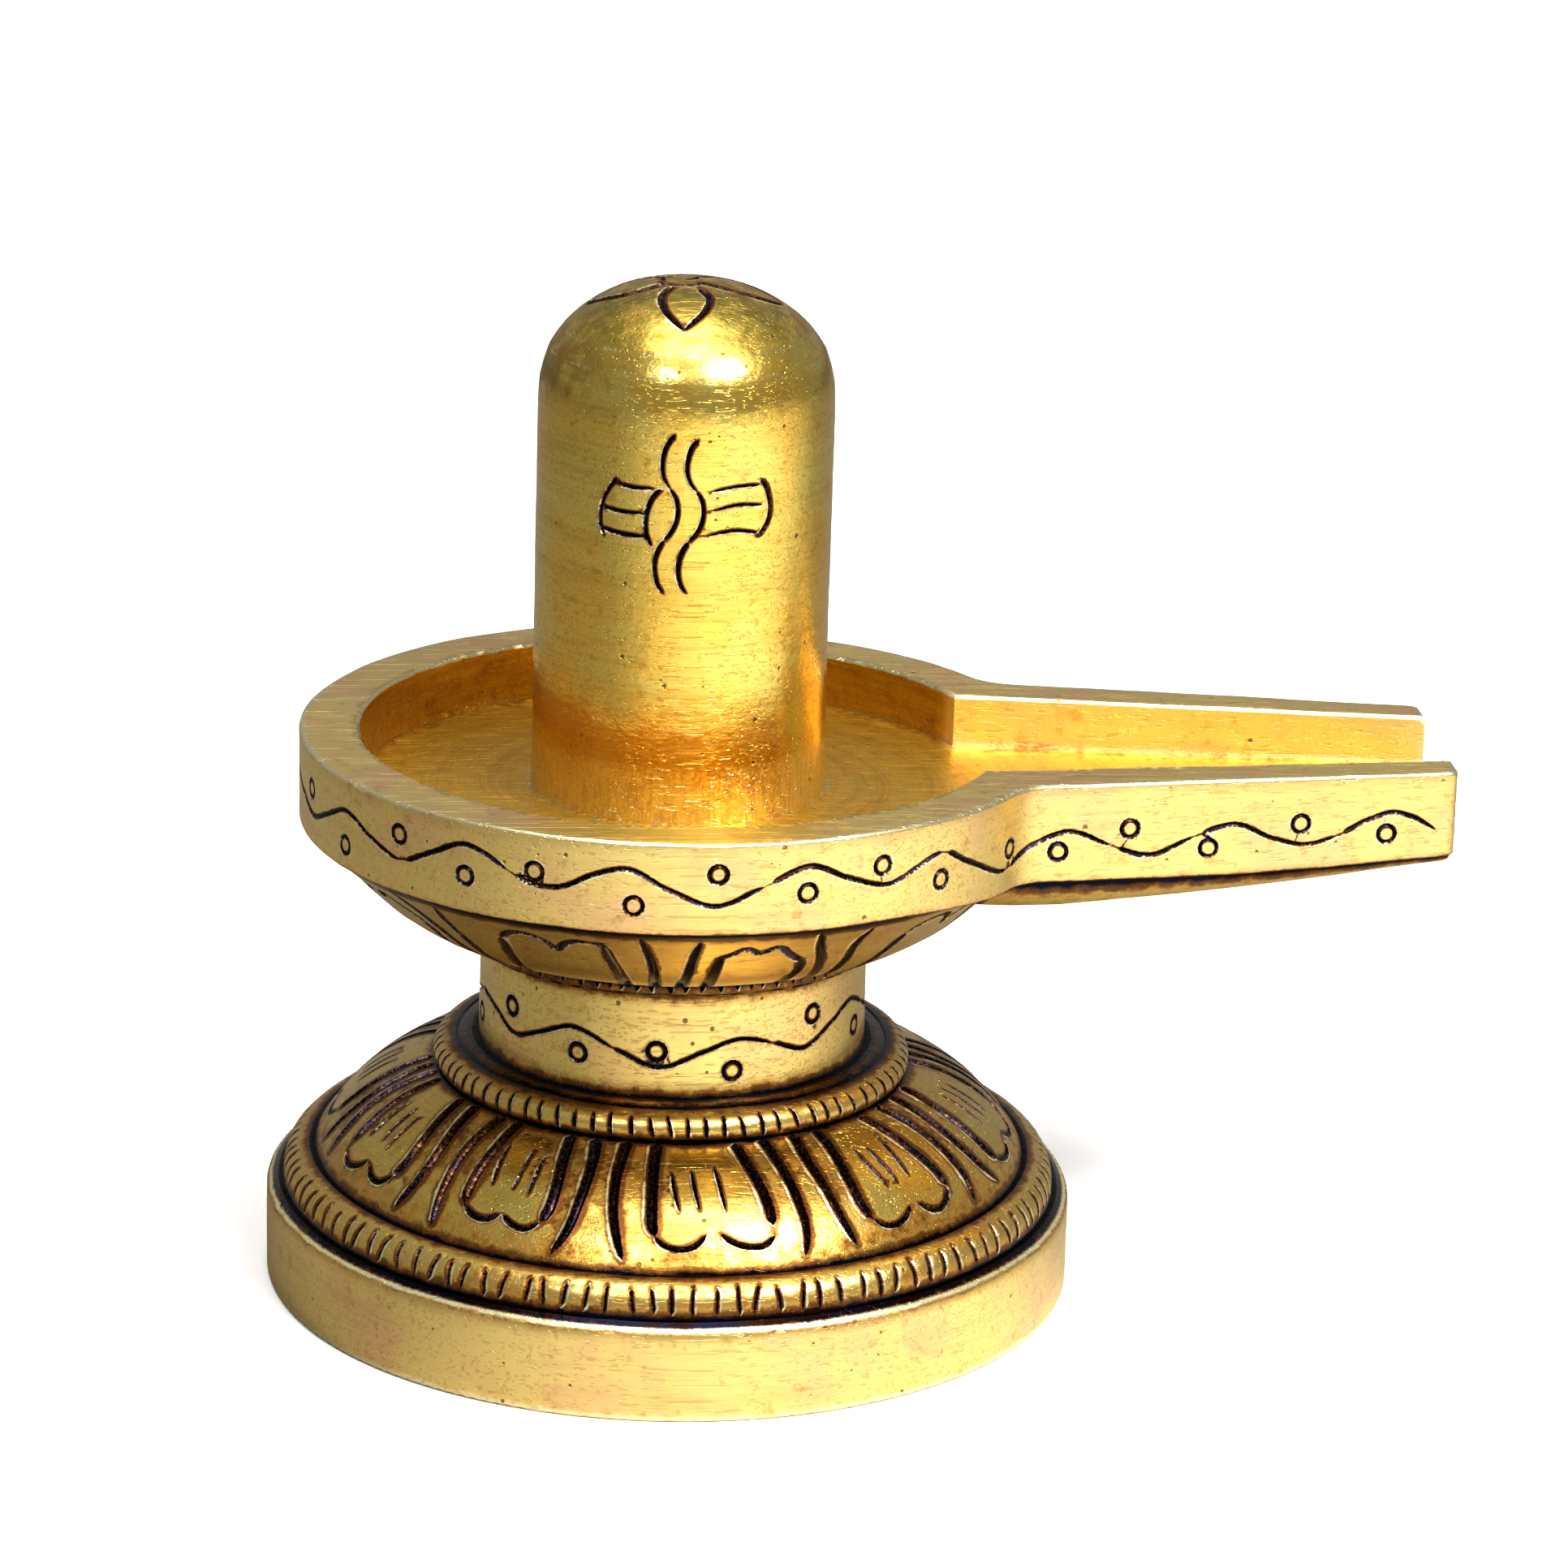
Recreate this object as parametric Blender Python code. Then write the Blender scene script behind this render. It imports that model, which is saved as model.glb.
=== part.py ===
"""A cast brass shiva lingam on a lotus stand, turned and then chased by hand.

It is one solid casting: a foot with a milled bead, a lotus dome, a milled collar, a neck,
the petalled underside of the bowl, the yoni bowl with its open spout, and the lingam.
Sizes are in millimetres and are written into the mesh in metres. +Z is up, the turning
axis is Z, the spout points along +X, and bearings start at -Y and grow towards +X.
"""
import math

import bmesh
import bpy
import numpy as np
from mathutils.geometry import delaunay_2d_cdt

MM = 0.001

# Foot and its milled bead
FOOT_RADIUS = 42.0
FOOT_WALL = 9.6
FOOT_EDGE = 0.4
LAND_WIDTH = 1.8
LAND_RISE = 1.1
BEAD_WIDTH = 3.2
BEAD_RISE = 3.1
BEAD_SWELL = 1.05

# Lotus dome and the milled collar on it
DOME_RISE = 9.1
DOME_SWELL = 1.5
COLLAR_RADIUS = 24.4
COLLAR_WIDTH = 2.1
COLLAR_RISE = 2.7
COLLAR_SWELL = 1.0

# Neck, lip and underside of the bowl
NECK_RADIUS = 20.0
NECK_LEDGE_RISE = 0.4
NECK_HEIGHT = 11.5
LIP_REACH = 2.4
LIP_HEIGHT = 1.5
LIP_GROOVE = 0.5
UNDERSIDE_RISE = 10.3
UNDERSIDE_SET_IN = 0.3

# Bowl
BOWL_RADIUS = 38.3
BAND_HEIGHT = 9.4
BOWL_WALL = 5.6
BOWL_DEPTH = 6.3
FLOOR_CROWN = 0.6

# Spout
SPOUT_REACH = 79.0
SPOUT_TIP_WIDTH = 23.2
SPOUT_FLARE = 0.1455
SPOUT_FILLET = 6.0
CHANNEL_TIP_WIDTH = 14.4
CHANNEL_FLARE = 0.118
SPOUT_DROP = 0.9
SPOUT_TIP_LIFT = 1.3
KEEL_ROOT_DEPTH = 6.0
KEEL_TIP_DEPTH = 2.0

# Lingam
LINGAM_RADIUS = 15.0
LINGAM_FOOT_SWELL = 0.25
LINGAM_SHAFT = 43.0
CROWN_HEIGHT = 10.1
CROWN_SIDE_POWER = 2.15
CROWN_TOP_POWER = 1.76
CROWN_CAP_SHARE = 0.82

# Chasing
PETAL_COUNT = 10
PETAL_BEARING = 5.7
UNDER_PETAL_BEARING = 11.0
PETAL_STROKE = 1.2
PETAL_STROKE_DEPTH = 0.6
VINE_STROKE = 0.6
VINE_DEPTH = 0.3
VINE_PERIOD = 17.0
VINE_SWING = 1.6
VINE_SHARE = 0.49
VINE_END = 5.0
NECK_WAVE_COUNT = 8
NECK_VINE_SHARE = 0.42
RINGLET_RADIUS = 0.95
RINGLET_STROKE = 0.5
RINGLET_OFFSET = 0.9
MARK_BEARING = -4.3
MARK_DROP = 10.2
MARK_HALF_WIDTH = 8.7
MARK_BAR_GAP = 2.4
MARK_HEIGHT = 16.2
MARK_STROKE = 0.7
MARK_DEPTH = 0.4
MARK_SWING = 1.0
MARK_LINE_GAP = 2.4
LEAFLET_LENGTH = 9.6
LEAFLET_WIDTH = 4.4

# How finely the round forms are faceted
TURNED_FACET_COUNT = 64
NECK_FACET_COUNT = 48
CAP_FACET_COUNT = 32

# Heights worked out from the sizes above
LAND_TOP = FOOT_WALL + LAND_RISE
DOME_FOOT = LAND_TOP + BEAD_RISE
DOME_TOP = DOME_FOOT + DOME_RISE
COLLAR_TOP = DOME_TOP + COLLAR_RISE
NECK_FOOT = COLLAR_TOP + NECK_LEDGE_RISE
NECK_TOP = NECK_FOOT + NECK_HEIGHT
UNDERSIDE_FOOT = NECK_TOP + LIP_HEIGHT
BAND_FOOT = UNDERSIDE_FOOT + UNDERSIDE_RISE
RIM = BAND_FOOT + BAND_HEIGHT
FLOOR = RIM - BOWL_DEPTH
LINGAM_FOOT = FLOOR + FLOOR_CROWN
SHOULDER = LINGAM_FOOT + LINGAM_SHAFT

INNER_RADIUS = BOWL_RADIUS - BOWL_WALL
SLAB = FLOOR - BAND_FOOT
SOCKET = SLAB / 3


def blend(low, high, value):
    """0 below low, 1 above high and a smooth rise between them."""
    share = min(1.0, max(0.0, (value - low) / (high - low)))
    return share * share * (3 - 2 * share)


def bowed(start, end, swell, steps):
    """Points from start to end, bowed by swell to the right of the way they run."""
    run, rise = end[0] - start[0], end[1] - start[1]
    length = math.hypot(run, rise)
    points = []
    for step in range(steps + 1):
        share = step / steps
        push = 4 * swell * share * (1 - share) / length
        points.append((start[0] + run * share + rise * push, start[1] + rise * share - run * push))
    return points


def curved(start, leave, arrive, end, steps):
    """Points on the cubic curve from start to end with the two handles given."""
    points = []
    for step in range(steps + 1):
        t = step / steps
        weights = ((1 - t) ** 3, 3 * t * (1 - t) ** 2, 3 * t * t * (1 - t), t ** 3)
        corners = (start, leave, arrive, end)
        points.append(tuple(sum(w * c[axis] for w, c in zip(weights, corners)) for axis in (0, 1)))
    return points


class Line:
    """An open line of plane points that can be read at any distance along it."""

    def __init__(self, points):
        self.points = points
        self.at_point = [0.0]
        for before, after in zip(points, points[1:]):
            self.at_point.append(self.at_point[-1] + math.dist(before, after))
        self.length = self.at_point[-1]

    def read(self, distance):
        """The point at a distance along the line, and the normal to its right."""
        last = len(self.points) - 2
        index = min(last, max(0, int(np.searchsorted(self.at_point, distance, side="right")) - 1))
        a, b = self.points[index], self.points[index + 1]
        step = math.dist(a, b)
        share = (distance - self.at_point[index]) / step
        point = (a[0] + (b[0] - a[0]) * share, a[1] + (b[1] - a[1]) * share)
        return point, ((b[1] - a[1]) / step, (a[0] - b[0]) / step)


class Stroke:
    """A V-shaped chased line on a surface: its path, its width and its depth."""

    def __init__(self, path, width, depth, closed=False):
        self.path = path
        self.closed = closed
        self.halves = [width / 2] * len(path)
        self.depths = [depth] * len(path)
        if not closed:
            self.halves[0] = self.halves[-1] = 0.0
            self.depths[0] = self.depths[-1] = 0.0

    def pairs(self):
        """Index pairs of the neighbouring points of the path."""
        count = len(self.path)
        return [(i, (i + 1) % count) for i in range(count if self.closed else count - 1)]

    def rails(self, surface):
        """The left lip, the bottom and the right lip; a pointed end is shared by all three."""
        count = len(self.path)
        rails = ([], [], [])
        for i, (x, y) in enumerate(self.path):
            before = self.path[(i - 1) % count if self.closed else max(0, i - 1)]
            after = self.path[(i + 1) % count if self.closed else min(count - 1, i + 1)]
            wide = surface.stretch(y)
            run, rise = (after[0] - before[0]) * wide, after[1] - before[1]
            length = math.hypot(run, rise)
            across, up = -rise / length * self.halves[i] / wide, run / length * self.halves[i]
            for rail, side in zip(rails, (1, 0, -1)):
                rail.append((x + side * across, y + side * up))
        return rails


class Plan:
    """A surface seen from above: x and y as they are, at the height that a function gives."""

    turn = None

    def __init__(self, height):
        self.height = height

    def stretch(self, y):
        return 1.0

    def flat(self, x, y):
        return x, y

    def drawn(self, x, y):
        return x, y

    def place(self, x, y, depth):
        return x, y, self.height(x, y) - depth


class Wall(Plan):
    """An upright wall: x runs along a line seen from above, y is the height."""

    def __init__(self, line):
        self.line = line

    def place(self, x, y, depth):
        point, normal = self.line.read(x)
        return point[0] - normal[0] * depth, point[1] - normal[1] * depth, y


class Turned:
    """A turned surface: x is a bearing in radians, y runs up its section line.

    It is drawn as a flat ring whose radius grows so that small shapes keep their form, or
    slower, by grain, where facets should be long and narrow as on a plain upright shaft."""

    turn = 2 * math.pi

    def __init__(self, points, grain=1.0):
        self.section = Line(points)
        steps = 48
        self.heights = [self.section.length * i / steps for i in range(steps + 1)]
        growth = [0.0]
        for below, above in zip(self.heights, self.heights[1:]):
            growth.append(growth[-1] + grain * (above - below) / self.stretch((below + above) / 2))
        self.radii = [math.exp(value) for value in growth]

    def stretch(self, y):
        return self.section.read(y)[0][0]

    def flat(self, x, y):
        radius = float(np.interp(y, self.heights, self.radii))
        return radius * math.sin(x), -radius * math.cos(x)

    def drawn(self, x, y):
        height = float(np.interp(math.hypot(x, y), self.radii, self.heights))
        return math.atan2(x, -y), height

    def place(self, x, y, depth):
        (radius, height), (out, up) = self.section.read(y)
        radius -= out * depth
        return radius * math.sin(x), -radius * math.cos(x), height - up * depth


def reach(surface, points, strokes):
    """For each point of a surface: how deep it is cut, and how far it lies outside every stroke."""
    spots = np.array(points, float).reshape(-1, 2)
    wide = np.array([surface.stretch(y) for y in spots[:, 1]])
    deep = np.zeros(len(spots))
    clear = np.full(len(spots), 1e9)
    for stroke in strokes:
        for i, j in stroke.pairs():
            (ax, ay), (bx, by) = stroke.path[i], stroke.path[j]
            off_x, off_y = spots[:, 0] - ax, spots[:, 1] - ay
            if surface.turn:
                off_x = (off_x + surface.turn / 2) % surface.turn - surface.turn / 2
            off_x = off_x * wide
            run, rise = (bx - ax) * wide, by - ay
            share = np.clip((off_x * run + off_y * rise) / (run * run + rise * rise), 0, 1)
            gap = np.hypot(off_x - share * run, off_y - share * rise)
            half = stroke.halves[i] + (stroke.halves[j] - stroke.halves[i]) * share
            depth = stroke.depths[i] + (stroke.depths[j] - stroke.depths[i]) * share
            deep = np.maximum(deep, depth * (1 - gap / np.maximum(half, 1e-6)))
            clear = np.minimum(clear, gap - half)
    return deep, clear


def skin(mesh, surface, borders, inner=(), strokes=(), margin=0.5):
    """Covers a surface with triangles between its borders and chases its strokes into it.

    Of two borders the second is a hole in the drawing, and it stays open."""
    points, edges = [], []
    for border in borders:
        first, count = len(points), len(border)
        points += border
        edges += [(first + i, first + (i + 1) % count) for i in range(count)]
    hole = set(range(len(borders[0]), len(points)))
    if inner:
        _, clear = reach(surface, inner, strokes)
        points += [spot for spot, gap in zip(inner, clear) if gap > margin]
    for stroke in strokes:
        for rail in stroke.rails(surface):
            first = len(points)
            points += rail
            edges += [(first + i, first + j) for i, j in stroke.pairs()]
    flat = [surface.flat(*spot) for spot in points]
    spots, _, faces, sources, _, _ = delaunay_2d_cdt(flat, edges, [], 1, 1e-6)
    spots = [surface.drawn(*spot) for spot in spots]
    deep, _ = reach(surface, spots, strokes)
    in_hole = [bool(hole.intersection(source)) for source in sources]
    verts = []
    for spot, depth in zip(spots, deep):
        x, y, z = surface.place(spot[0], spot[1], float(depth))
        verts.append(mesh.verts.new((x * MM, y * MM, z * MM)))
    for face in faces:
        if not all(in_hole[i] for i in face):
            mesh.faces.new([verts[i] for i in face])


def ring(facets, height):
    """The corners of one ring of a turned surface."""
    return [(2 * math.pi * i / facets, height) for i in range(facets)]


def turned_zone(mesh, points, facets, rows=(), strokes=None, grain=1.0):
    """One zone of a turned form: its section line turned about Z, with rows of facets between.

    Facets are the counts below and above. Strokes is a function of the section line's length."""
    below, above = facets
    surface = Turned(points, grain)
    top = surface.section.length
    inner = [spot for row in rows for spot in ring(below, row * top)]
    chased = strokes(top) if strokes else []
    skin(mesh, surface, [ring(above, top), ring(below, 0.0)], inner, chased)


def disc(mesh, radius, height, facets=TURNED_FACET_COUNT):
    """A flat round cap on a turned form."""
    corners = []
    for bearing, _ in ring(facets, height):
        spot = (radius * math.sin(bearing), -radius * math.cos(bearing), height)
        corners.append(mesh.verts.new([MM * value for value in spot]))
    mesh.faces.new(corners)


def finished_mesh(mesh, name):
    """Joins the zones along their shared borders and turns every face outwards."""
    bmesh.ops.remove_doubles(mesh, verts=mesh.verts, dist=0.002 * MM)
    bmesh.ops.recalc_face_normals(mesh, faces=mesh.faces)
    data = bpy.data.meshes.new(name)
    mesh.to_mesh(data)
    mesh.free()
    data.shade_smooth()
    data.set_sharp_from_angle(angle=math.radians(32))
    return data


def ringlet(x, y, stretch=1.0, sides=6):
    """A punched ringlet: a small closed round stroke."""
    path = []
    for i in range(sides):
        angle = 2 * math.pi * i / sides
        path.append((x + RINGLET_RADIUS * math.cos(angle) / stretch, y + RINGLET_RADIUS * math.sin(angle)))
    return Stroke(path, RINGLET_STROKE, VINE_DEPTH, closed=True)


def vine(start, end, waves, middle, stretch=1.0, closed=False):
    """A waving line, broken at each crest, with a ringlet in every bend.

    It begins and ends on a crest. Stretch is the millimetres that one unit along it stands for."""
    strokes = []
    period = (end - start) / waves
    stations = 6
    gap = VINE_STROKE / (period * stretch)
    for wave in range(waves):
        path = []
        for i in range(stations + 1):
            share = gap + (1 - 2 * gap) * i / stations
            sway = VINE_SWING * math.cos(2 * math.pi * share)
            path.append((start + (wave + share) * period, middle + sway))
        strokes.append(Stroke(path, VINE_STROKE, VINE_DEPTH))
        strokes.append(ringlet(start + (wave + 0.5) * period, middle + RINGLET_OFFSET, stretch))
        if wave or closed:
            strokes.append(ringlet(start + wave * period, middle - RINGLET_OFFSET, stretch))
    return strokes


def petal_ring(first, side, vein, tall):
    """One ring of petals: each is a side and its mirror image, with a vein beyond each side."""
    strokes = []
    for petal in range(PETAL_COUNT):
        bearing = first + 360 * petal / PETAL_COUNT
        room = 10 / PETAL_COUNT
        for way in (-1, 1):
            for shape in (side, vein):
                path = [(math.radians(bearing + way * x * room), y * tall) for x, y in shape]
                strokes.append(Stroke(path, PETAL_STROKE, PETAL_STROKE_DEPTH))
    return strokes


def dome_petals(tall):
    """The lotus petals of the dome: heart-shaped ends downwards, two veins between petals."""
    side = [(8.5, 0.96), (9.7, 0.77), (10.1, 0.5), (9.2, 0.22), (5.6, 0.12), (2.2, 0.16), (0.4, 0.25)]
    vein = [(15.4, 0.98), (15.3, 0.66), (15.1, 0.34), (14.3, 0.06)]
    return petal_ring(PETAL_BEARING, side, vein, tall)


def under_petals(tall):
    """The petals below the bowl: notched ends upwards, two veins spread between petals."""
    side = [(10.3, 0.33), (11.1, 0.55), (9.4, 0.77), (4.8, 0.85), (1.8, 0.77), (0.5, 0.68)]
    vein = [(13.6, 0.97), (14.6, 0.68), (15.5, 0.38)]
    return petal_ring(UNDER_PETAL_BEARING, side, vein, tall)


def neck_vine(tall):
    """The waving vine round the neck."""
    return vine(0.0, 2 * math.pi, NECK_WAVE_COUNT, NECK_VINE_SHARE * tall, NECK_RADIUS, closed=True)


def bands(mesh, points, facets=TURNED_FACET_COUNT):
    """Plain turned bands from each point of a section line to the next."""
    for below, above in zip(points, points[1:]):
        turned_zone(mesh, [below, above], (facets, facets))


def build_stand():
    """Everything turned below the bowl: foot, bead, dome, collar, neck, lip and underside."""
    mesh = bmesh.new()
    bead_foot = (FOOT_RADIUS - LAND_WIDTH, LAND_TOP)
    dome_foot = (bead_foot[0] - BEAD_WIDTH, DOME_FOOT)
    dome_top = (COLLAR_RADIUS, DOME_TOP)
    collar_top = (COLLAR_RADIUS - COLLAR_WIDTH, COLLAR_TOP)
    neck_foot = (NECK_RADIUS, NECK_FOOT)
    neck_top = (NECK_RADIUS, NECK_TOP)
    lip_edge = (NECK_RADIUS + LIP_REACH, NECK_TOP + LIP_GROOVE)
    lip_top = (lip_edge[0], UNDERSIDE_FOOT - LIP_GROOVE)
    under_foot = (lip_edge[0] + LIP_GROOVE, UNDERSIDE_FOOT)
    under_top = (BOWL_RADIUS - UNDERSIDE_SET_IN, BAND_FOOT - UNDERSIDE_SET_IN / 2)
    stand_top = (under_top[0], BAND_FOOT + SOCKET)
    flat_run = 0.54 * (under_top[0] - under_foot[0])
    steep_run = 0.4 * (under_top[0] - under_foot[0])
    leave = (under_foot[0] + flat_run, under_foot[1] + 0.13 * UNDERSIDE_RISE)
    arrive = (under_top[0] - steep_run, under_top[1] - 0.4 * UNDERSIDE_RISE)

    edge = FOOT_EDGE
    foot = [
        (FOOT_RADIUS - edge, 0.0), (FOOT_RADIUS, edge), (FOOT_RADIUS, FOOT_WALL - edge),
        (FOOT_RADIUS - edge, FOOT_WALL), bead_foot,
    ]
    disc(mesh, FOOT_RADIUS - edge, 0.0)
    bands(mesh, foot)
    bands(mesh, bowed(bead_foot, dome_foot, BEAD_SWELL, 3))
    dome = bowed(dome_foot, dome_top, DOME_SWELL, 12)
    turned_zone(mesh, dome, (TURNED_FACET_COUNT, NECK_FACET_COUNT), (0.35, 0.7), dome_petals)
    bands(mesh, bowed(dome_top, collar_top, COLLAR_SWELL, 3) + [neck_foot], NECK_FACET_COUNT)
    turned_zone(mesh, [neck_foot, neck_top], (NECK_FACET_COUNT,) * 2, (), neck_vine)
    lip = [neck_top, (lip_edge[0] - LIP_GROOVE, NECK_TOP), lip_edge, lip_top, under_foot]
    bands(mesh, lip, NECK_FACET_COUNT)
    underside = curved(under_foot, leave, arrive, under_top, 12)
    turned_zone(mesh, underside, (NECK_FACET_COUNT, TURNED_FACET_COUNT), (0.3, 0.65), under_petals)
    bands(mesh, [under_top, stand_top])
    disc(mesh, stand_top[0], stand_top[1])
    return finished_mesh(mesh, "stand")


def spout_half(x):
    """Half of the spout's outer width at x."""
    return SPOUT_TIP_WIDTH / 2 + (SPOUT_REACH - x) * SPOUT_FLARE


def channel_half(x):
    """Half of the channel's width at x."""
    return CHANNEL_TIP_WIDTH / 2 + (SPOUT_REACH - x) * CHANNEL_FLARE


def outer_path():
    """The bowl's outline seen from above, from the far corner of the spout round to the near one."""
    steep = math.atan(SPOUT_FLARE)
    normal = (math.sin(steep), math.cos(steep))
    offset = normal[0] * SPOUT_REACH + normal[1] * SPOUT_TIP_WIDTH / 2
    lift = offset + SPOUT_FILLET
    along = math.sqrt((BOWL_RADIUS + SPOUT_FILLET) ** 2 - lift ** 2)
    centre = (normal[0] * lift + normal[1] * along, normal[1] * lift - normal[0] * along)
    turn_in = math.atan2(centre[1], centre[0])
    line_turns, fillet_turns = 7, 4
    meet = (centre[0] - normal[0] * SPOUT_FILLET, centre[1] - normal[1] * SPOUT_FILLET)
    far = []
    for step in range(line_turns):
        share = step / line_turns
        x = SPOUT_REACH + (meet[0] - SPOUT_REACH) * share
        far.append((x, spout_half(x)))
    start, end = math.atan2(-normal[1], -normal[0]), turn_in - math.pi
    for step in range(fillet_turns):
        angle = start + (end - start) * step / fillet_turns
        far.append((centre[0] + SPOUT_FILLET * math.cos(angle), centre[1] + SPOUT_FILLET * math.sin(angle)))
    half_turns = TURNED_FACET_COUNT // 2 - 4
    for step in range(half_turns):
        angle = turn_in + (math.pi - turn_in) * step / half_turns
        far.append((BOWL_RADIUS * math.cos(angle), BOWL_RADIUS * math.sin(angle)))
    near = [(x, -y) for x, y in far[::-1]]
    return far + [(-BOWL_RADIUS, 0.0)] + near


def inner_path():
    """The inside of the bowl and channel seen from above, from the near tip round to the far one."""
    flare = math.hypot(1, CHANNEL_FLARE)
    offset = channel_half(0.0) / flare
    corner = math.asin(offset / INNER_RADIUS) - math.atan(CHANNEL_FLARE)
    half_turns = TURNED_FACET_COUNT // 2 - 4
    channel_turns = 4
    corner_x = INNER_RADIUS * math.cos(corner)
    near = []
    for step in range(channel_turns):
        x = SPOUT_REACH + (corner_x - SPOUT_REACH) * step / channel_turns
        near.append((x, -channel_half(x)))
    for step in range(half_turns):
        angle = corner + (math.pi - corner) * step / half_turns
        near.append((INNER_RADIUS * math.cos(angle), -INNER_RADIUS * math.sin(angle)))
    far = [(x, -y) for x, y in near[::-1]]
    return near + [(-INNER_RADIUS, 0.0)] + far


def band_edge(x):
    """Height of the band's lower edge: lower where the spout begins, lifting towards its tip."""
    drop = SPOUT_DROP * blend(0.65 * BOWL_RADIUS, BOWL_RADIUS, x)
    along = max(0.0, (x - BOWL_RADIUS) / (SPOUT_REACH - BOWL_RADIUS))
    return BAND_FOOT - drop + SPOUT_TIP_LIFT * along ** 2


def underside_height(x, y):
    """Height of the slab's lower side, with the rounded keel under the spout."""
    share = (SPOUT_REACH - x) / (SPOUT_REACH - BOWL_RADIUS)
    deep = KEEL_TIP_DEPTH + (KEEL_ROOT_DEPTH - KEEL_TIP_DEPTH) * min(1.0, share)
    deep *= blend(0.2 * BOWL_RADIUS, 0.5 * BOWL_RADIUS, x)
    return band_edge(x) - deep * math.sqrt(max(0.0, 1 - (y / spout_half(x)) ** 2))


def floor_height(x, y):
    """Height of the bowl's floor, which rises a little towards the lingam."""
    share = (INNER_RADIUS - math.hypot(x, y)) / (INNER_RADIUS - LINGAM_RADIUS)
    return FLOOR + FLOOR_CROWN * min(1.0, max(0.0, share))


def build_bowl():
    """The yoni: banded wall, rim, open channel, floor and keel."""
    mesh = bmesh.new()
    outer, inner = outer_path(), inner_path()
    wall, inside = Line(outer), Line(inner)
    low = [(at, band_edge(x)) for at, (x, _) in zip(wall.at_point, outer)]
    top = [(at, RIM) for at in wall.at_point]
    waves = round((wall.length - 2 * VINE_END) / VINE_PERIOD)
    chased = vine(VINE_END, wall.length - VINE_END, waves, BAND_FOOT + VINE_SHARE * BAND_HEIGHT)
    skin(mesh, Wall(wall), [low + top[::-1]], (), chased)
    skin(mesh, Plan(lambda x, y: RIM), [outer + inner])
    foot = [(at, floor_height(x, y)) for at, (x, y) in zip(inside.at_point, inner)]
    brim = [(at, RIM) for at in inside.at_point]
    skin(mesh, Wall(inside), [foot + brim[::-1]])

    spots = []
    for radius in (1.1 * LINGAM_RADIUS, 0.5 * (LINGAM_RADIUS + INNER_RADIUS)):
        spots += [(radius * math.cos(angle), radius * math.sin(angle)) for angle, _ in ring(24, 0)]
    skin(mesh, Plan(floor_height), [inner[::-1]], spots)

    shares = (-0.97, -0.82, -0.5, 0.0, 0.5, 0.82, 0.97)
    tip = [(SPOUT_REACH, share * SPOUT_TIP_WIDTH / 2) for share in shares]
    span, rows = SPOUT_REACH - BOWL_RADIUS / 2, 7
    stations = [SPOUT_REACH - span * i / rows for i in range(1, rows + 1)]
    spots = [(x, share * spout_half(x)) for x in stations for share in shares]
    skin(mesh, Plan(underside_height), [outer + tip], spots, margin=0.0)

    half, gap = SPOUT_TIP_WIDTH / 2, CHANNEL_TIP_WIDTH / 2
    low_edge = [(SPOUT_REACH, -half)] + tip + [(SPOUT_REACH, half)]
    corners = [(x, y, underside_height(x, y)) for x, y in low_edge]
    notch = [(half, RIM), (gap, RIM), (gap, FLOOR), (-gap, FLOOR), (-gap, RIM), (-half, RIM)]
    corners += [(SPOUT_REACH, y, z) for y, z in notch]
    mesh.faces.new([mesh.verts.new([MM * value for value in corner]) for corner in corners])
    return finished_mesh(mesh, "bowl_form")


def crown_height(radius):
    """Height of the crown's surface above the shoulder at a radius."""
    cos_squared = min(1.0, radius / LINGAM_RADIUS) ** CROWN_SIDE_POWER
    return CROWN_HEIGHT * (1 - cos_squared) ** (1 / CROWN_TOP_POWER)


class Crown(Plan):
    """The domed top of the lingam, drawn as seen from above."""

    def __init__(self):
        super().__init__(lambda x, y: SHOULDER + crown_height(math.hypot(x, y)))

    def place(self, x, y, depth):
        radius, near = math.hypot(x, y), 0.01
        rise = crown_height(radius + near) - crown_height(abs(radius - near))
        slope = rise / (2 * near)
        out, up = -slope / math.hypot(slope, 1), 1 / math.hypot(slope, 1)
        pull = out * depth / max(radius, near)
        return x * (1 - pull), y * (1 - pull), self.height(x, y) - up * depth


def mark_strokes(height):
    """The three-barred mark on the shaft, with its double waving line in the middle."""
    middle, swing = math.radians(MARK_BEARING), MARK_SWING / LINGAM_RADIUS
    half = MARK_HALF_WIDTH / LINGAM_RADIUS
    strokes = []
    for way in (-1, 1):
        for bar in (-1, 0, 1):
            level = height + bar * MARK_BAR_GAP
            path = [(middle + way * half * share, level) for share in (0.3, 0.62, 0.94 - 0.06 * abs(bar))]
            strokes.append(Stroke(path, 0.8 * MARK_STROKE, MARK_DEPTH))
        ends = [(0.8 * MARK_HALF_WIDTH, side * 1.35 * MARK_BAR_GAP) for side in (-1, 1)]
        bow = bowed(*ends, 0.25 * MARK_HALF_WIDTH, 6)
        path = [(middle + way * x / LINGAM_RADIUS, height + y) for x, y in bow]
        strokes.append(Stroke(path, MARK_STROKE, MARK_DEPTH))
    steps = 10
    waves, lead = 1.6, 0.3
    for line in (-1, 1):
        path = []
        for step in range(steps + 1):
            share = step / steps
            sway = math.cos(2 * math.pi * (waves * share - lead))
            x = middle + (line * MARK_LINE_GAP / 2) / LINGAM_RADIUS - swing * sway
            path.append((x, height + (0.5 - share) * MARK_HEIGHT))
        strokes.append(Stroke(path, MARK_STROKE, MARK_DEPTH))
    return strokes


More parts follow.
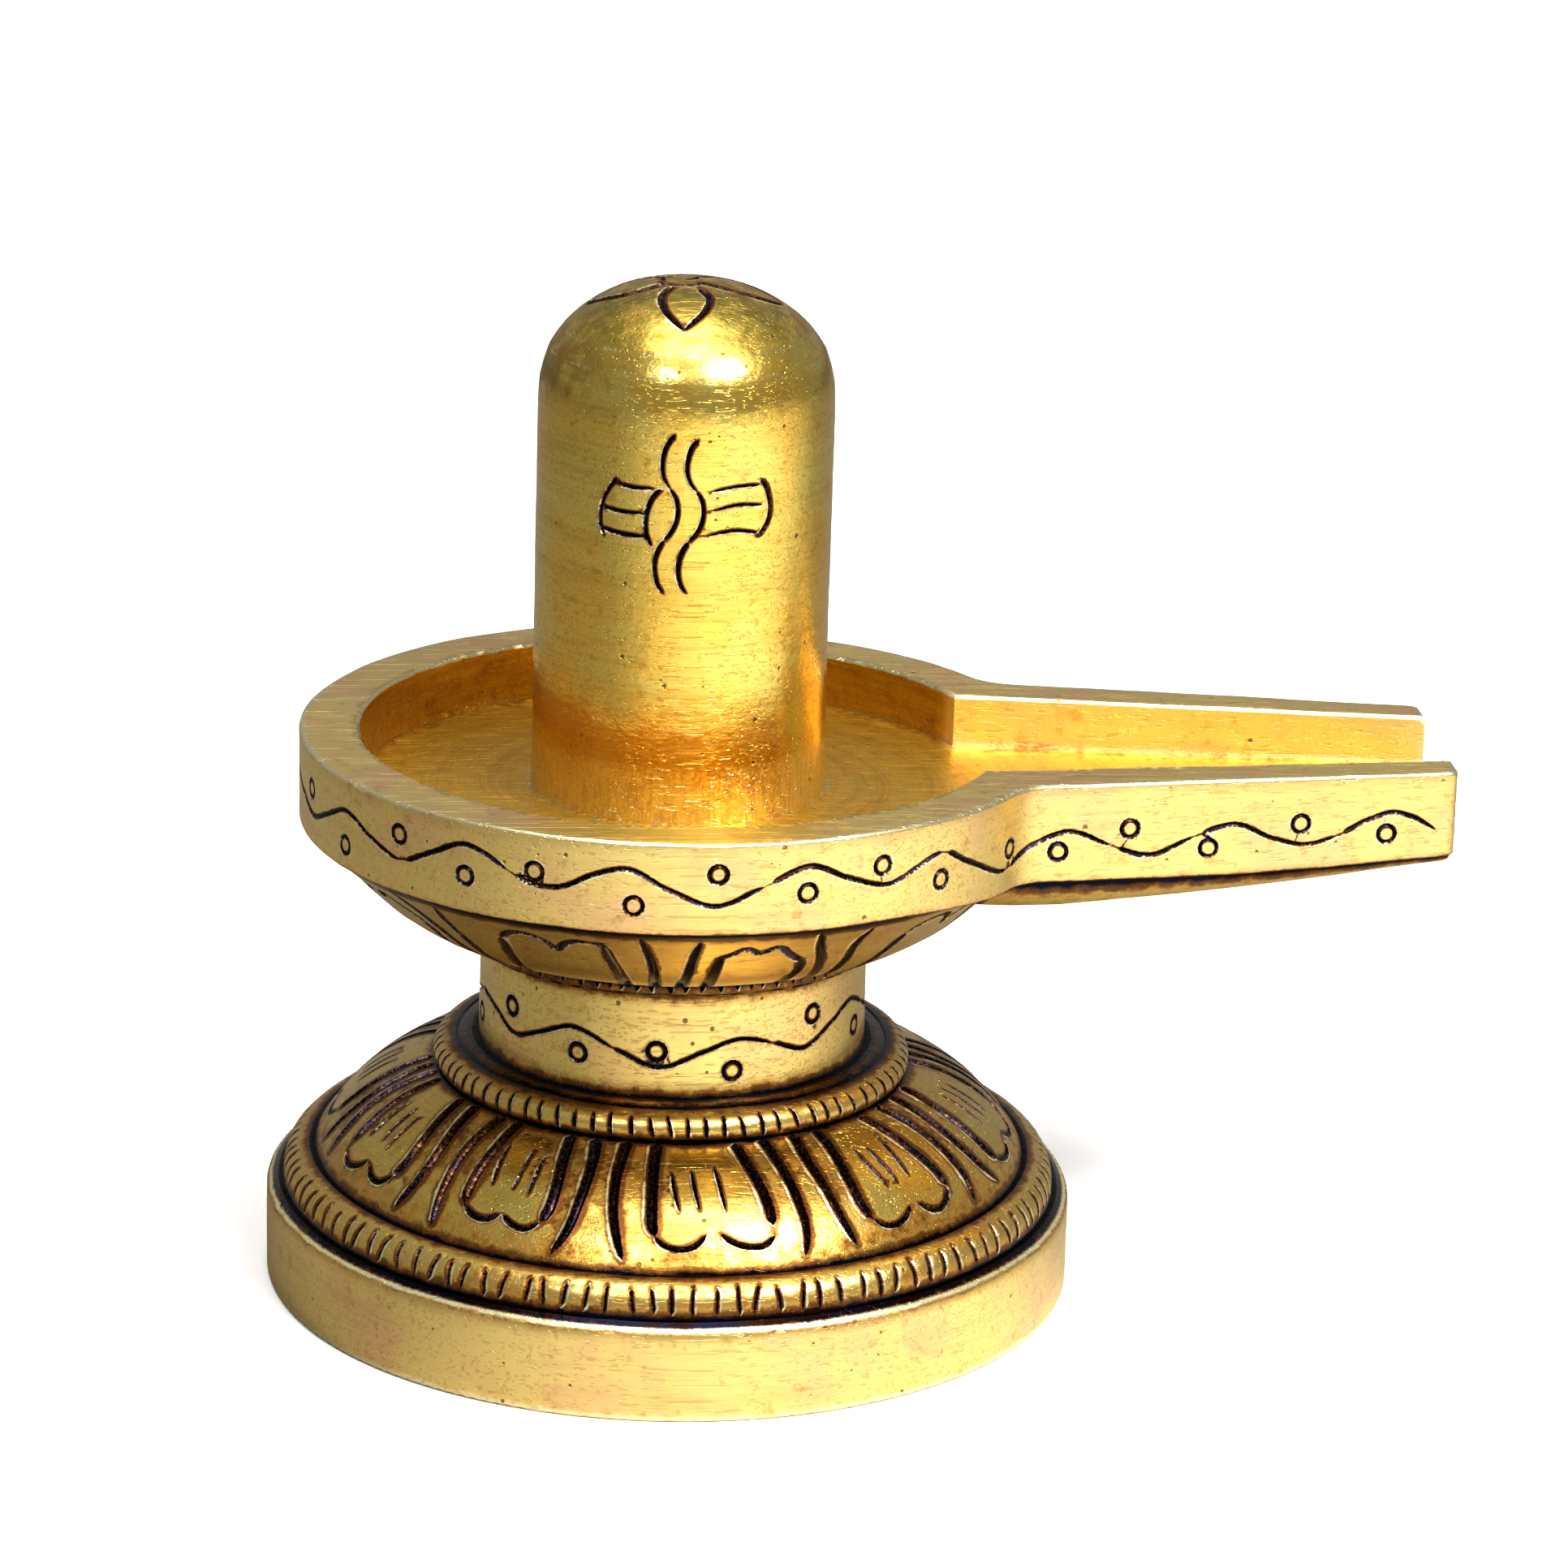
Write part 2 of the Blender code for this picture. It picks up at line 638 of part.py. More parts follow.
def leaf_strokes():
    """The bael leaf on the crown: three leaflets, to the front and to both sides."""
    strokes = []
    steps = 5
    for bearing in (-90, 0, 90):
        angle = math.radians(bearing + MARK_BEARING - 90)
        for way in (-1, 1):
            path = []
            for step in range(steps + 1):
                share = step / steps
                out = LEAFLET_LENGTH * (0.12 + 0.88 * share)
                half = LEAFLET_WIDTH / 2 * math.sin(math.pi * share)
                across = way * (half + MARK_STROKE / 2 * (1 - share))
                x = out * math.cos(angle) - across * math.sin(angle)
                y = out * math.sin(angle) + across * math.cos(angle)
                path.append((x, y))
            strokes.append(Stroke(path, MARK_STROKE, MARK_DEPTH))
    return strokes


def build_lingam():
    """The upright shaft with its mark and the domed crown with its leaf."""
    mesh = bmesh.new()
    root = FLOOR - SOCKET
    swell_top = LINGAM_FOOT + 3 * FLOOR_CROWN
    foot = (LINGAM_RADIUS + LINGAM_FOOT_SWELL, root)
    shaft_foot, shoulder = (LINGAM_RADIUS, swell_top), (LINGAM_RADIUS, SHOULDER)
    mark_height = SHOULDER - MARK_DROP - swell_top
    disc(mesh, *foot, NECK_FACET_COUNT)
    bands(mesh, [foot, shaft_foot], NECK_FACET_COUNT)
    shaft = [shaft_foot, shoulder]
    rows = (0.5, 0.76, 0.97)
    turned_zone(mesh, shaft, (NECK_FACET_COUNT,) * 2, rows, lambda _: mark_strokes(mark_height), 0.25)
    cap_radius = CROWN_CAP_SHARE * LINGAM_RADIUS
    bends = 4
    crown = []
    for step in range(bends + 1):
        share = math.cos(math.pi / 2 * step / bends)
        radius = cap_radius + (LINGAM_RADIUS - cap_radius) * share
        crown.append((radius, SHOULDER + crown_height(radius)))
    bands(mesh, crown[:-1], NECK_FACET_COUNT)
    turned_zone(mesh, crown[-2:], (NECK_FACET_COUNT, CAP_FACET_COUNT))

    bearings = [bearing for bearing, _ in ring(CAP_FACET_COUNT, 0)]
    border = [(cap_radius * math.sin(bearing), -cap_radius * math.cos(bearing)) for bearing in bearings]
    spots = [(0.0, 0.0)]
    for share, count in ((0.75, 20), (0.45, 12)):
        radius = share * cap_radius
        spots += [(radius * math.cos(angle), radius * math.sin(angle)) for angle, _ in ring(count, 0)]
    skin(mesh, Crown(), [border], spots, leaf_strokes())
    return finished_mesh(mesh, "lingam_form")


def brass():
    """Bright yellow brass, brushed and lacquered."""
    material = bpy.data.materials.new("brass")
    material.use_nodes = True
    shader = material.node_tree.nodes["Principled BSDF"]
    shader.inputs["Base Color"].default_value = (0.78, 0.55, 0.16, 1.0)
    shader.inputs["Metallic"].default_value = 1.0
    shader.inputs["Roughness"].default_value = 0.32
    return material


def add_object(name, mesh):
    """Puts a mesh into the scene under a name."""
    item = bpy.data.objects.new(name, mesh)
    bpy.context.scene.collection.objects.link(item)
    return item


def join_form(body, name, mesh):
    """Fuses one more form of the casting to its body; the form itself stays as a hidden guide."""
    guide = add_object(name, mesh)
    guide.hide_render = True
    guide.display_type = "WIRE"
    union = body.modifiers.new(name, "BOOLEAN")
    union.operation = "UNION"
    union.solver = "EXACT"
    union.object = guide


def build():
    """Clears the scene and builds the casting."""
    for item in list(bpy.data.objects):
        bpy.data.objects.remove(item)
    casting = add_object("shiva_lingam", build_stand())
    casting.data.materials.append(brass())
    join_form(casting, "bowl_form", build_bowl())
    join_form(casting, "lingam_form", build_lingam())


build()
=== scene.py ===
"""A cast brass shiva lingam on a lotus stand: turned, chased by hand, its lines darkened.

It is one casting. Numbers are in millimetres until a form gets its mesh. Bearings are in
degrees, from the front (-Y) towards the spout (+X).
"""

import math

import bpy
import numpy as np
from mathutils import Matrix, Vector, noise
from mathutils.geometry import delaunay_2d_cdt
from mathutils.kdtree import KDTree


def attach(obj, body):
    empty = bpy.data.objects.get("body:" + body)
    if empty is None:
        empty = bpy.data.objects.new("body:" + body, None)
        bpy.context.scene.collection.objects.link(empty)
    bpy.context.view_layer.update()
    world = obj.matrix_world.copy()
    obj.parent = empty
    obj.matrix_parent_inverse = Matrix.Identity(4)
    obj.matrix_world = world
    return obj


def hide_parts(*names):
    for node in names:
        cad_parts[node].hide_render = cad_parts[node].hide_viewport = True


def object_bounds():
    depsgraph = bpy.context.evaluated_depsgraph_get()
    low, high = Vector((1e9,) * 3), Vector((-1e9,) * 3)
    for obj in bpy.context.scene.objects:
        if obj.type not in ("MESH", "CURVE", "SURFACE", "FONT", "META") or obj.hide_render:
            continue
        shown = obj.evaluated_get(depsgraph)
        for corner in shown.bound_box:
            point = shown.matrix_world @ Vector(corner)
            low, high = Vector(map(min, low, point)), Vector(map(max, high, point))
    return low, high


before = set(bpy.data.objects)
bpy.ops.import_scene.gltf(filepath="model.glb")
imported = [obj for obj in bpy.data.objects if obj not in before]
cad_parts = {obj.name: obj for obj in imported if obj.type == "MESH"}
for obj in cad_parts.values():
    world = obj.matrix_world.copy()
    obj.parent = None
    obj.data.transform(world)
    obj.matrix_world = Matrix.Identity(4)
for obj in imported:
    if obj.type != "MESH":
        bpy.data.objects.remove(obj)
cad_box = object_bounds()
bpy.ops.object.select_all(action="DESELECT")


# ---- The foot and its milled bead ----
# The whole stand is turned from one brass casting. The foot is a plain drum with a sloping
# land, and a bead runs round its top, nicked with a chisel every few degrees by hand.
MM = 0.001
FAR = 6.0
# What each spot tells the brass: its gaps in mm to a cut's filling, a turned groove and a worn
# edge (beside each cut, the painted highlight along its burr), its shares of wash, pale satin,
# painted shade in the bowl's hollow, filing, grit and painted shade on the crown, and a running length.
GAPS = ("lip", "groove", "edge")
MARKS = (*GAPS, "wash", "pale", "ochre", "filed", "grit", "painted_crown_shade", "run")
hand = np.random.default_rng(11)
notes = []

# A cut's profile: places as shares of its half width, with their levels as shares of its depth.
SLIT = ((0.0, 1.0), (1.0, 0.0))
NICK = ((0.0, 1.0), (0.36, 0.34), (1.0, 0.0))
GOUGE = ((0.0, 1.0), (0.5, 0.74), (0.92, -0.09), (1.4, 0.0))
# How much of a cut's half width is filled dark, and how far the brown wash spreads beside it.
INK = {SLIT: (0.95, 0.4), NICK: (0.3, 0.6), GOUGE: (0.85, 1.0)}
# In mm beyond a cut's last rail: its row of seeds, the painted highlight along its burr, and how
# close seeds and other spots may come. A cut marks what lies less than NEAR_CUT outside its box.
BESIDE_CUT, BURR_GLINT_OUT, SEED_MARGIN, SPOT_MARGIN, NEAR_CUT = 0.32, 0.06, 0.15, 0.62, 3.0


def lengths(line):
    """How far along a line each of its points lies."""
    return np.concatenate(([0.0], np.cumsum(np.hypot(*np.diff(line, axis=0).T))))


def around(radius, angle):
    """Plan places at a radius and a bearing in radians."""
    return np.stack([radius * np.sin(angle), -radius * np.cos(angle)], 1)


def read(along, at, *tables):
    """The columns of tables, read between their rows."""
    return [np.interp(along, at, column) for table in tables for column in table.T]


def flowing(points, step):
    """A smooth line through points, read again at about equal steps."""
    knots = np.array(points, float)
    spans = np.hypot(*np.diff(knots, axis=0).T)
    at = np.concatenate(([0.0], np.cumsum(spans)))
    fine = np.linspace(0, at[-1], max(2, int(round(at[-1] / step)) + 1))
    if len(knots) == 2:
        return knots[0] + (knots[1] - knots[0]) * (fine / at[-1])[:, None]
    slopes = np.gradient(knots, at, axis=0)
    span = np.clip(np.searchsorted(at, fine, side="right") - 1, 0, len(spans) - 1)
    size, following = spans[span][:, None], span + 1
    t = (fine[:, None] - at[span][:, None]) / size
    near = (2 * t ** 3 - 3 * t ** 2 + 1) * knots[span] + (t ** 3 - 2 * t ** 2 + t) * size * slopes[span]
    far = (3 * t ** 2 - 2 * t ** 3) * knots[following] + (t ** 3 - t ** 2) * size * slopes[following]
    return near + far


def edge_normals(line, closed=False):
    """Unit normals to the right of the way a line runs, shared between its pieces."""
    if closed:
        ahead = np.roll(line, -1, axis=0) - np.roll(line, 1, axis=0)
    else:
        ahead = np.gradient(line, axis=0)
    right = np.stack([ahead[:, 1], -ahead[:, 0]], 1)
    return right / np.hypot(*right.T)[:, None]


class Form:
    """A surface that is drawn flat, chased there, and then bent into its place.

    Metric gives the mm in one step across the drawing. Flat and drawn lead from the drawing to
    a plane without a seam, and back."""

    period = 0.0
    shrunk = 100.0

    def __init__(self):
        self.cuts, self.seeds = [], []

    def metric(self, height):
        return np.ones(len(height))

    def flat(self, spots):
        return spots * (1 / self.shrunk)

    def drawn(self, flat):
        return flat * self.shrunk

    def chase(self, path, width, depth, ends=(0.6, 0.6), profile=SLIT, closed=False, step=0.45):
        """Cuts a line. Ends are how far it takes to reach its full width at either end."""
        knots = np.array(path, float)
        scale = float(self.metric(np.array([knots[:, 1].mean()]))[0])
        line = knots * (scale, 1.0)
        if not closed:
            line = flowing(line, step)
        run = lengths(line)
        wide = np.linspace(*np.broadcast_to(width, 2), len(line))
        grow = np.ones(len(line))
        if not closed:
            for gap, end in ((run, ends[0]), (run[-1] - run, ends[1])):
                share = np.clip(gap / max(end, 1e-6), 0, 1)
                grow = np.minimum(grow, np.sqrt(1 - (1 - share) ** 2))
        right = edge_normals(line, closed)
        metric = self.metric(line[:, 1])
        self.cuts.append({
            "line": np.stack([line[:, 0] / scale, line[:, 1]], 1),
            "across": np.stack([right[:, 0] / metric, right[:, 1]], 1),
            "half": wide / 2 * grow, "depth": depth * grow ** 0.8,
            "profile": profile, "closed": closed,
        })

    def rails(self):
        """The lines that each cut needs in the drawing, and whether they close."""
        for cut in self.cuts:
            for place, _ in cut["profile"]:
                for side in ((0,) if place == 0 else (-1, 1)):
                    aside = cut["across"] * (side * place * cut["half"])[:, None]
                    yield cut["line"] + aside, cut["closed"]

    def reach(self, spots):
        """For each spot: its depth, and how far it is from a cut's filling, last rail, and the
        painted highlight along its burr.
        """
        deep, rise = np.zeros((2, len(spots)))
        lip, clear, burr_glint = np.full((3, len(spots)), FAR)
        metric = self.metric(spots[:, 1])
        for cut in self.cuts:
            line = cut["line"]
            middle = (line.min(0) + line.max(0)) / 2
            size = (line.max(0) - line.min(0)) / 2
            off = spots - middle
            if self.period:
                off[:, 0] = (off[:, 0] + self.period / 2) % self.period - self.period / 2
            beside = np.abs(off[:, 0]) < size[0] + NEAR_CUT / metric
            pick = np.nonzero(beside & (np.abs(off[:, 1]) < size[1] + NEAR_CUT))[0]
            if not len(pick):
                continue
            here = off[pick] * np.stack([metric[pick], np.ones(len(pick))], 1)
            ends = [line, np.roll(line, -1, axis=0)]
            if not cut["closed"]:
                ends = [line[:-1], line[1:]]
            scale = metric[pick][:, None]
            ax, ay = (ends[0][:, 0] - middle[0]) * scale, ends[0][:, 1] - middle[1]
            bx, by = (ends[1][:, 0] - middle[0]) * scale, ends[1][:, 1] - middle[1]
            run, up = bx - ax, by - ay
            along = (here[:, :1] - ax) * run + (here[:, 1:] - ay) * up
            along = np.clip(along / (run * run + up * up + 1e-12), 0, 1)
            gap = np.hypot(here[:, :1] - ax - along * run, here[:, 1:] - ay - along * up)
            best = gap.argmin(1)
            rows = np.arange(len(pick))
            gap, along = gap[rows, best], along[rows, best]
            on_right = run[rows, best] * (here[:, 1] - ay[best])
            on_right = on_right < up[best] * (here[:, 0] - ax[rows, best])
            following = (best + 1) % len(line)
            half, depth = (
                cut[name][best] + (cut[name][following] - cut[name][best]) * along
                for name in ("half", "depth"))
            places, levels = zip(*cut["profile"])
            level = np.interp(gap / np.maximum(half, 1e-5), places, levels)
            deep[pick] = np.maximum(deep[pick], depth * level)
            rise[pick] = np.minimum(rise[pick], depth * level)
            filled, spread = INK[cut["profile"]]
            lip[pick] = np.minimum(lip[pick], np.maximum(gap - half * filled, 0) / spread)
            clear[pick] = np.minimum(clear[pick], gap - half * places[-1])
            # A painted highlight: a thin bright line just beyond the right-hand side of each cut, for
            # light caught on its burr.
            near = np.abs(gap - half * places[-1] - BURR_GLINT_OUT) * 1.6 + 0.08
            burr_glint[pick] = np.where(on_right, np.minimum(burr_glint[pick], near), burr_glint[pick])
        return np.where(deep > 1e-4, deep, rise), lip, clear, burr_glint

    def skin(self, rings, spots, open_end=True):
        """Covers the form between closed rings with triangles that follow every cut.

        The first ring is the drawing's rim. With an open end the last one stays a hole."""
        points, edges, total = [], [], 0
        for line, closed in [(ring, True) for ring in rings] + list(self.rails()):
            count = len(line)
            points.append(line)
            joined = range(count if closed else count - 1)
            edges += [(total + i, total + (i + 1) % count) for i in joined]
            total += count
        first = sum(len(ring) for ring in rings[:-1])
        hole = range(first, first + len(rings[-1])) if open_end else range(0)
        seeds = [np.array(self.seeds, float).reshape(-1, 2)]
        for cut in self.cuts:
            beyond = cut["half"] * cut["profile"][-1][0] + BESIDE_CUT
            for side, first_seed in ((-1, 1), (1, 0)):
                beside = cut["line"] + cut["across"] * (side * beyond)[:, None]
                seeds.append(beside[first_seed::2])
        spots = np.array(spots, float).reshape(-1, 2)
        spot_margin = SPOT_MARGIN if self.cuts else 0.0
        for group, margin in ((np.concatenate(seeds), SEED_MARGIN), (spots, spot_margin)):
            points.append(group[self.reach(group)[2] > margin])
        flat = [tuple(spot) for spot in self.flat(np.concatenate(points)).tolist()]
        found, _, faces, sources, _, _ = delaunay_2d_cdt(flat, edges, [], 1, 1e-7)
        found = self.drawn(np.array([tuple(p) for p in found]))
        in_hole = [any(source in hole for source in group) for group in sources]
        faces = [face for face in faces if not all(in_hole[i] for i in face)]
        deep, lip, _, burr_glint = self.reach(found)
        marks = self.marks(found)
        marks["lip"] = lip
        # The painted highlights along the burrs join the worn edges.
        marks["edge"] = np.minimum(marks.get("edge", FAR), burr_glint)
        return self.place(found, deep), faces, marks


class Turned(Form):
    """A turned form. A place on it is a bearing in degrees and a length up its section line."""

    period = 360.0

    def __init__(self, radius, height, cell=1.2):
        super().__init__()
        self.section = np.array([(radius, height)], float)
        self.rows = [(0.0, cell)]
        self.creases = [(0.0, cell)]
        self.tones = []
        self.grooves, self.edges = [], []
        self.length = 0.0

    def turn(self, points, cell=(1.0, 1.2), wash=(0, 0), pale=0.0, groove=False, worn=False):
        """Carries the section on; groove and worn say what its end is. Gives where it began."""
        begun = self.length
        line = flowing([self.section[-1], *points], 0.25)
        self.section = np.concatenate([self.section, line[1:]])
        self.at = lengths(self.section)
        self.length = float(self.at[-1])
        middles = (self.section[1:, 0] + self.section[:-1, 0]) / 2
        shares = np.cumsum(np.diff(self.at) / middles)
        self.ring_radius = np.exp(-np.concatenate(([0.0], shares)))
        self.normals = edge_normals(self.section)
        steps = max(1, int(round((self.length - begun) / cell[0])))
        for step in range(1, steps):
            self.rows.append((begun + (self.length - begun) * step / steps, cell[1]))
        self.creases.append((self.length, cell[1]))
        inside = min(0.05, (self.length - begun) / 4)
        self.tones.append((begun + inside, wash[0], pale))
        self.tones.append((self.length - inside, wash[1], pale))
        if groove:
            self.grooves.append(self.length)
        if worn:
            self.edges.append(self.length)
        return begun

    def ring(self, row, turn=0.0):
        """The points of one row round the form."""
        height, cell = row
        radius = float(np.interp(height, self.at, self.section[:, 0]))
        count = int(round(2 * math.pi * radius / cell))
        bearings = (np.arange(count) + turn) * 360.0 / count
        return np.stack([bearings, np.full(count, height)], 1)

    def metric(self, height):
        return np.radians(np.interp(height, self.at, self.section[:, 0]))

    def flat(self, spots):
        return around(np.interp(spots[:, 1], self.at, self.ring_radius), np.radians(spots[:, 0]))

    def drawn(self, flat):
        radius = np.hypot(*flat.T)
        height = np.interp(radius, self.ring_radius[::-1], self.at[::-1])
        return np.stack([np.degrees(np.arctan2(flat[:, 0], -flat[:, 1])), height], 1)

    def place(self, spots, deep):
        radius, height, out, up = read(spots[:, 1], self.at, self.section, self.normals)
        plan = around(radius - out * deep, np.radians(spots[:, 0]))
        return np.column_stack([plan, height - up * deep])

    def marks(self, spots):
        height = spots[:, 1]
        at, wash, pale = (np.array(column, float) for column in zip(*sorted(self.tones)))
        marks = {
            "wash": np.interp(height, at, wash), "pale": np.interp(height, at, pale), "run": height}
        for name, places in (("groove", self.grooves), ("edge", self.edges)):
            gaps = [np.abs(height - place) for place in places] + [np.full(len(height), FAR)]
            marks[name] = np.min(gaps, axis=0)
        return marks

    def covered(self):
        """The form's skin, from its first ring to its last."""
        spots = [self.ring(row, 0.5 * (i % 2)) for i, row in enumerate(self.rows[1:])]
        return self.skin([self.ring(row) for row in self.creases], np.concatenate(spots))


stand = Turned(41.55, 0.0, 1.3)
stand.turn([(41.86, 0.1), (41.95, 0.4)], (0.4, 1.3), pale=1.0, worn=True)
stand.turn([(41.97, 9.2)], (1.3, 1.3), pale=1.0)
stand.turn([(41.88, 9.5), (41.55, 9.68)], (0.3, 1.2), pale=0.6, worn=True)
stand.turn([(40.78, 10.26)], (0.5, 1.2), wash=(0.45, 1.0))
stand.turn([(40.34, 10.12)], (0.5, 1.2), wash=(1.0, 1.0), groove=True)
stand.grooves.append(stand.length - 0.6)
bead = stand.turn(
    [(40.26, 10.9), (40.1, 11.7), (39.75, 12.5), (39.1, 13.15), (38.3, 13.6), (37.55, 13.7)],
    (0.55, 1.3), wash=(0.85, 0.1), pale=0.35)
stand.turn([(37.12, 13.36)], (0.5, 1.2), groove=True)


def seed_between(form, bearings, low, high, count):
    """Puts spots midway between upright cuts, so that the metal stands up there."""
    bearings = np.sort(bearings)
    for middle in (bearings + np.append(bearings[1:], bearings[0] + 360)) / 2:
        form.seeds += [(middle, height) for height in np.linspace(low, high, count)]


NICKS, NICK_STRAY = 116, 0.45
nicks = np.arange(NICKS) * 360 / NICKS + hand.uniform(-NICK_STRAY, NICK_STRAY, NICKS)
seed_between(stand, nicks, bead + 0.5, bead + 3.9, 6)
for bearing in nicks:
    slant = hand.uniform(-0.35, 0.55)
    low, high = bead + hand.uniform(0.45, 0.75), bead + hand.uniform(3.3, 3.8)
    middle = (bearing + hand.uniform(-0.15, 0.15), (low + high) / 2)
    path = [(bearing - slant, low), middle, (bearing + slant, high)]
    stand.chase(path, hand.uniform(0.6, 0.85), hand.uniform(0.22, 0.32), (0.5, 0.5), NICK)


# ---- The lotus dome ----
# Ten open petals are chased into the turned dome with a broad gouge, ends downwards, with
# two tapering gouge lines between each pair and three light dashes on each petal.
def bowed(start, end, swell, count=7):
    """Points from start to end, bowed by swell to the right of the way they run."""
    start, end = np.array(start, float), np.array(end, float)
    share = np.linspace(0, 1, count)[:, None]
    right = np.array([end[1] - start[1], start[0] - end[0]]) / np.hypot(*(end - start))
    return start + (end - start) * share + right * 4 * swell * share * (1 - share)


LOW, HIGH = (36.86, 13.95), (24.56, 22.86)
stand.turn([LOW], (0.4, 1.1))
dome = stand.turn(bowed(LOW, HIGH, 1.5)[1:].tolist(), (0.85, 0.95), wash=(1.0, 0.45), pale=0.15)
stand.tones += [(dome + 2.2, 0.85, 0.15), (dome + 4.6, 0.16, 0.15), (dome + 13.0, 0.08, 0.15)]
stand.turn([(24.34, 22.7)], (0.4, 1.1), groove=True)

# Each petal: its two sides, its two end arcs, its dashes and the gouge lines beyond its
# right side, as bearings and lengths up the dome, seen on the front half of the casting.
PETAL_SIDES = [
    [(-72.2, 15.4), (-71.6, 9.6), (-70.4, 4.2)],
    [(-58, 15.4), (-55.5, 12), (-53.5, 8.4), (-53, 5.2), (-53.8, 3.7)],
    [(-37.2, 15.4), (-37, 10), (-36.9, 7), (-36.4, 4.2)],
    [(-23, 15.4), (-21.7, 11.6), (-20.5, 7.4), (-20.6, 5.2), (-21.4, 4)],
    [(-2.6, 15.4), (-2.9, 12.4), (-2.7, 7.3), (-2.4, 4.6), (-1.9, 3.6)],
    [(15.2, 15.2), (16.2, 12.4), (17.3, 9.4), (17.9, 6.8), (18, 4.4)],
    [(36.6, 15.4), (36.1, 12.4), (35.2, 7.4), (35.4, 4.4), (36.2, 3.4)],
    [(51, 15.4), (52.2, 12), (53.6, 8.4), (54.7, 6), (55, 3.9)],
    [(73.8, 15.4), (72.4, 12.4), (72.2, 7.4), (72.9, 4), (74, 2.8)],
    [(92.4, 15.4), (93.4, 10.4), (93.8, 6.6), (92.9, 3.9)],
]
PETAL_ARCS = [
    [(-70.4, 3.1), (-67, 2.1), (-63.9, 2.6), (-62, 3.7)],
    [(-61.2, 3.6), (-59, 2.7), (-56, 2.5), (-53.8, 3.7)],
    [(-36.2, 3.9), (-33.6, 3.1), (-31, 3.1), (-28.9, 3.9)],
    [(-28.4, 3.9), (-26.5, 3.2), (-24, 2.9), (-21.6, 3.8)],
    [(-2, 3.5), (-0.5, 2.7), (1.6, 2.3), (4.2, 2.5), (6.6, 3.8)],
    [(8.9, 3.9), (10.6, 3), (13.2, 2.4), (16, 2.4), (18, 3.3)],
    [(36.3, 3.2), (38.2, 2.3), (40.4, 2.1), (42.6, 2.5), (44.8, 3.5)],
    [(46.6, 3.5), (48.6, 2.4), (51, 2.1), (53.4, 2.8), (55, 3.7)],
    [(74, 2.6), (77.4, 2), (80.4, 2.2), (82.6, 3.4)],
    [(83.6, 3.5), (86.4, 2.4), (89.6, 2.2), (92.6, 3.4)],
]
PETAL_DASHES = [
    [(-67.8, 11), (-67.2, 6.1)], [(-64, 11), (-63, 6.3)], [(-60.5, 10.4), (-60, 5.8)],
    [(-34.8, 12), (-33.8, 9), (-32.8, 6.8)], [(-28.8, 12), (-28.5, 6.8)],
    [(-25.8, 11.5), (-25.3, 6.4)], [(0.7, 11), (1.2, 8.8), (2.1, 6.3)],
    [(4.6, 11.3), (5.1, 8.6), (5.7, 6.4)], [(9.3, 11.7), (9.8, 9), (10.2, 6.3)],
    [(40.9, 11.3), (41.4, 8.8), (42.3, 6.2)], [(44.1, 11), (44.9, 6.2)],
    [(48.6, 11.8), (48.1, 6.5)], [(79, 11), (79.4, 6.2)], [(82.6, 11.4), (83, 6)],
    [(86.4, 11), (86.2, 6.2)],
]
PETAL_GOUGES = [
    [(-52, 15.5), (-49.8, 12), (-47.9, 8), (-47.8, 4.6), (-49.4, 1.1)],
    [(-42.6, 15.5), (-42.7, 9.4), (-41.8, 5.2), (-40.6, 0.9)],
    [(-16.9, 15.5), (-15.6, 12), (-15.6, 6.6), (-16.5, 3.4), (-18.4, 0.9)],
    [(-9.6, 15.5), (-9.9, 9.4), (-9, 5.2), (-7.7, 2.4), (-6.9, 1)],
    [(22, 15.5), (22.9, 12), (23.6, 7.3), (23.5, 3.4), (22.4, 0.9)],
    [(30.2, 15.5), (29.3, 12), (29.8, 7.4), (30.4, 4), (31.6, 1.1)],
    [(58.8, 15.5), (60, 11.4), (60.8, 6.2), (60.7, 3.4), (59.6, 1.1)],
    [(66.4, 15.5), (65.5, 10.4), (66, 6.3), (67.4, 3.4), (69.2, 1.3)],
    [(97.4, 15.5), (98.4, 11.4), (99, 6.2), (98.2, 1.2)],
    [(103, 15.5), (102.5, 9.4), (103.4, 5.2), (104.4, 1.2)],
]
# The bearing that faces the camera.
FRONT = -4.3
for turn in (FRONT, FRONT + 180):
    for paths, width, depth, ends, profile in (
        (PETAL_SIDES, lambda: hand.uniform(1.05, 1.3), 0.52, (0.5, 1.1), GOUGE),
        (PETAL_ARCS, lambda: hand.uniform(0.6, 0.75), 0.34, (1.4, 1.4), SLIT),
        (PETAL_DASHES, lambda: 0.38, 0.17, (2.4, 2.4), SLIT),
        (PETAL_GOUGES, lambda: (1.25, 0.85), 0.5, (0.5, 3.4), GOUGE),
    ):
        for path in paths:
            stand.chase([(x + turn, dome + y) for x, y in path], width(), depth, ends, profile)


# ---- The milled collar ----
# A rounded collar closes the dome. It is ticked all round with a narrow chisel, and a thin
# turned line and a sloping ledge lead from it to the neck.
collar = stand.turn(
    [(24.55, 23.05), (24.76, 23.6), (24.72, 24.2), (24.45, 24.8), (23.95, 25.22), (23.2, 25.52),
     (22.45, 25.6)], (0.5, 1.1), wash=(0.3, 0.0), pale=0.45)
stand.tones.append((collar + 0.8, 0.0, 0.45))
stand.turn([(22.3, 25.46)], (0.4, 1.1), groove=True)
stand.turn([(22.05, 25.64), (20.8, 25.95)], (0.6, 1.1), wash=(0.4, 1.0))
stand.turn([(20.32, 25.66)], (0.4, 1.0), groove=True)
stand.grooves.append(stand.length - 0.5)

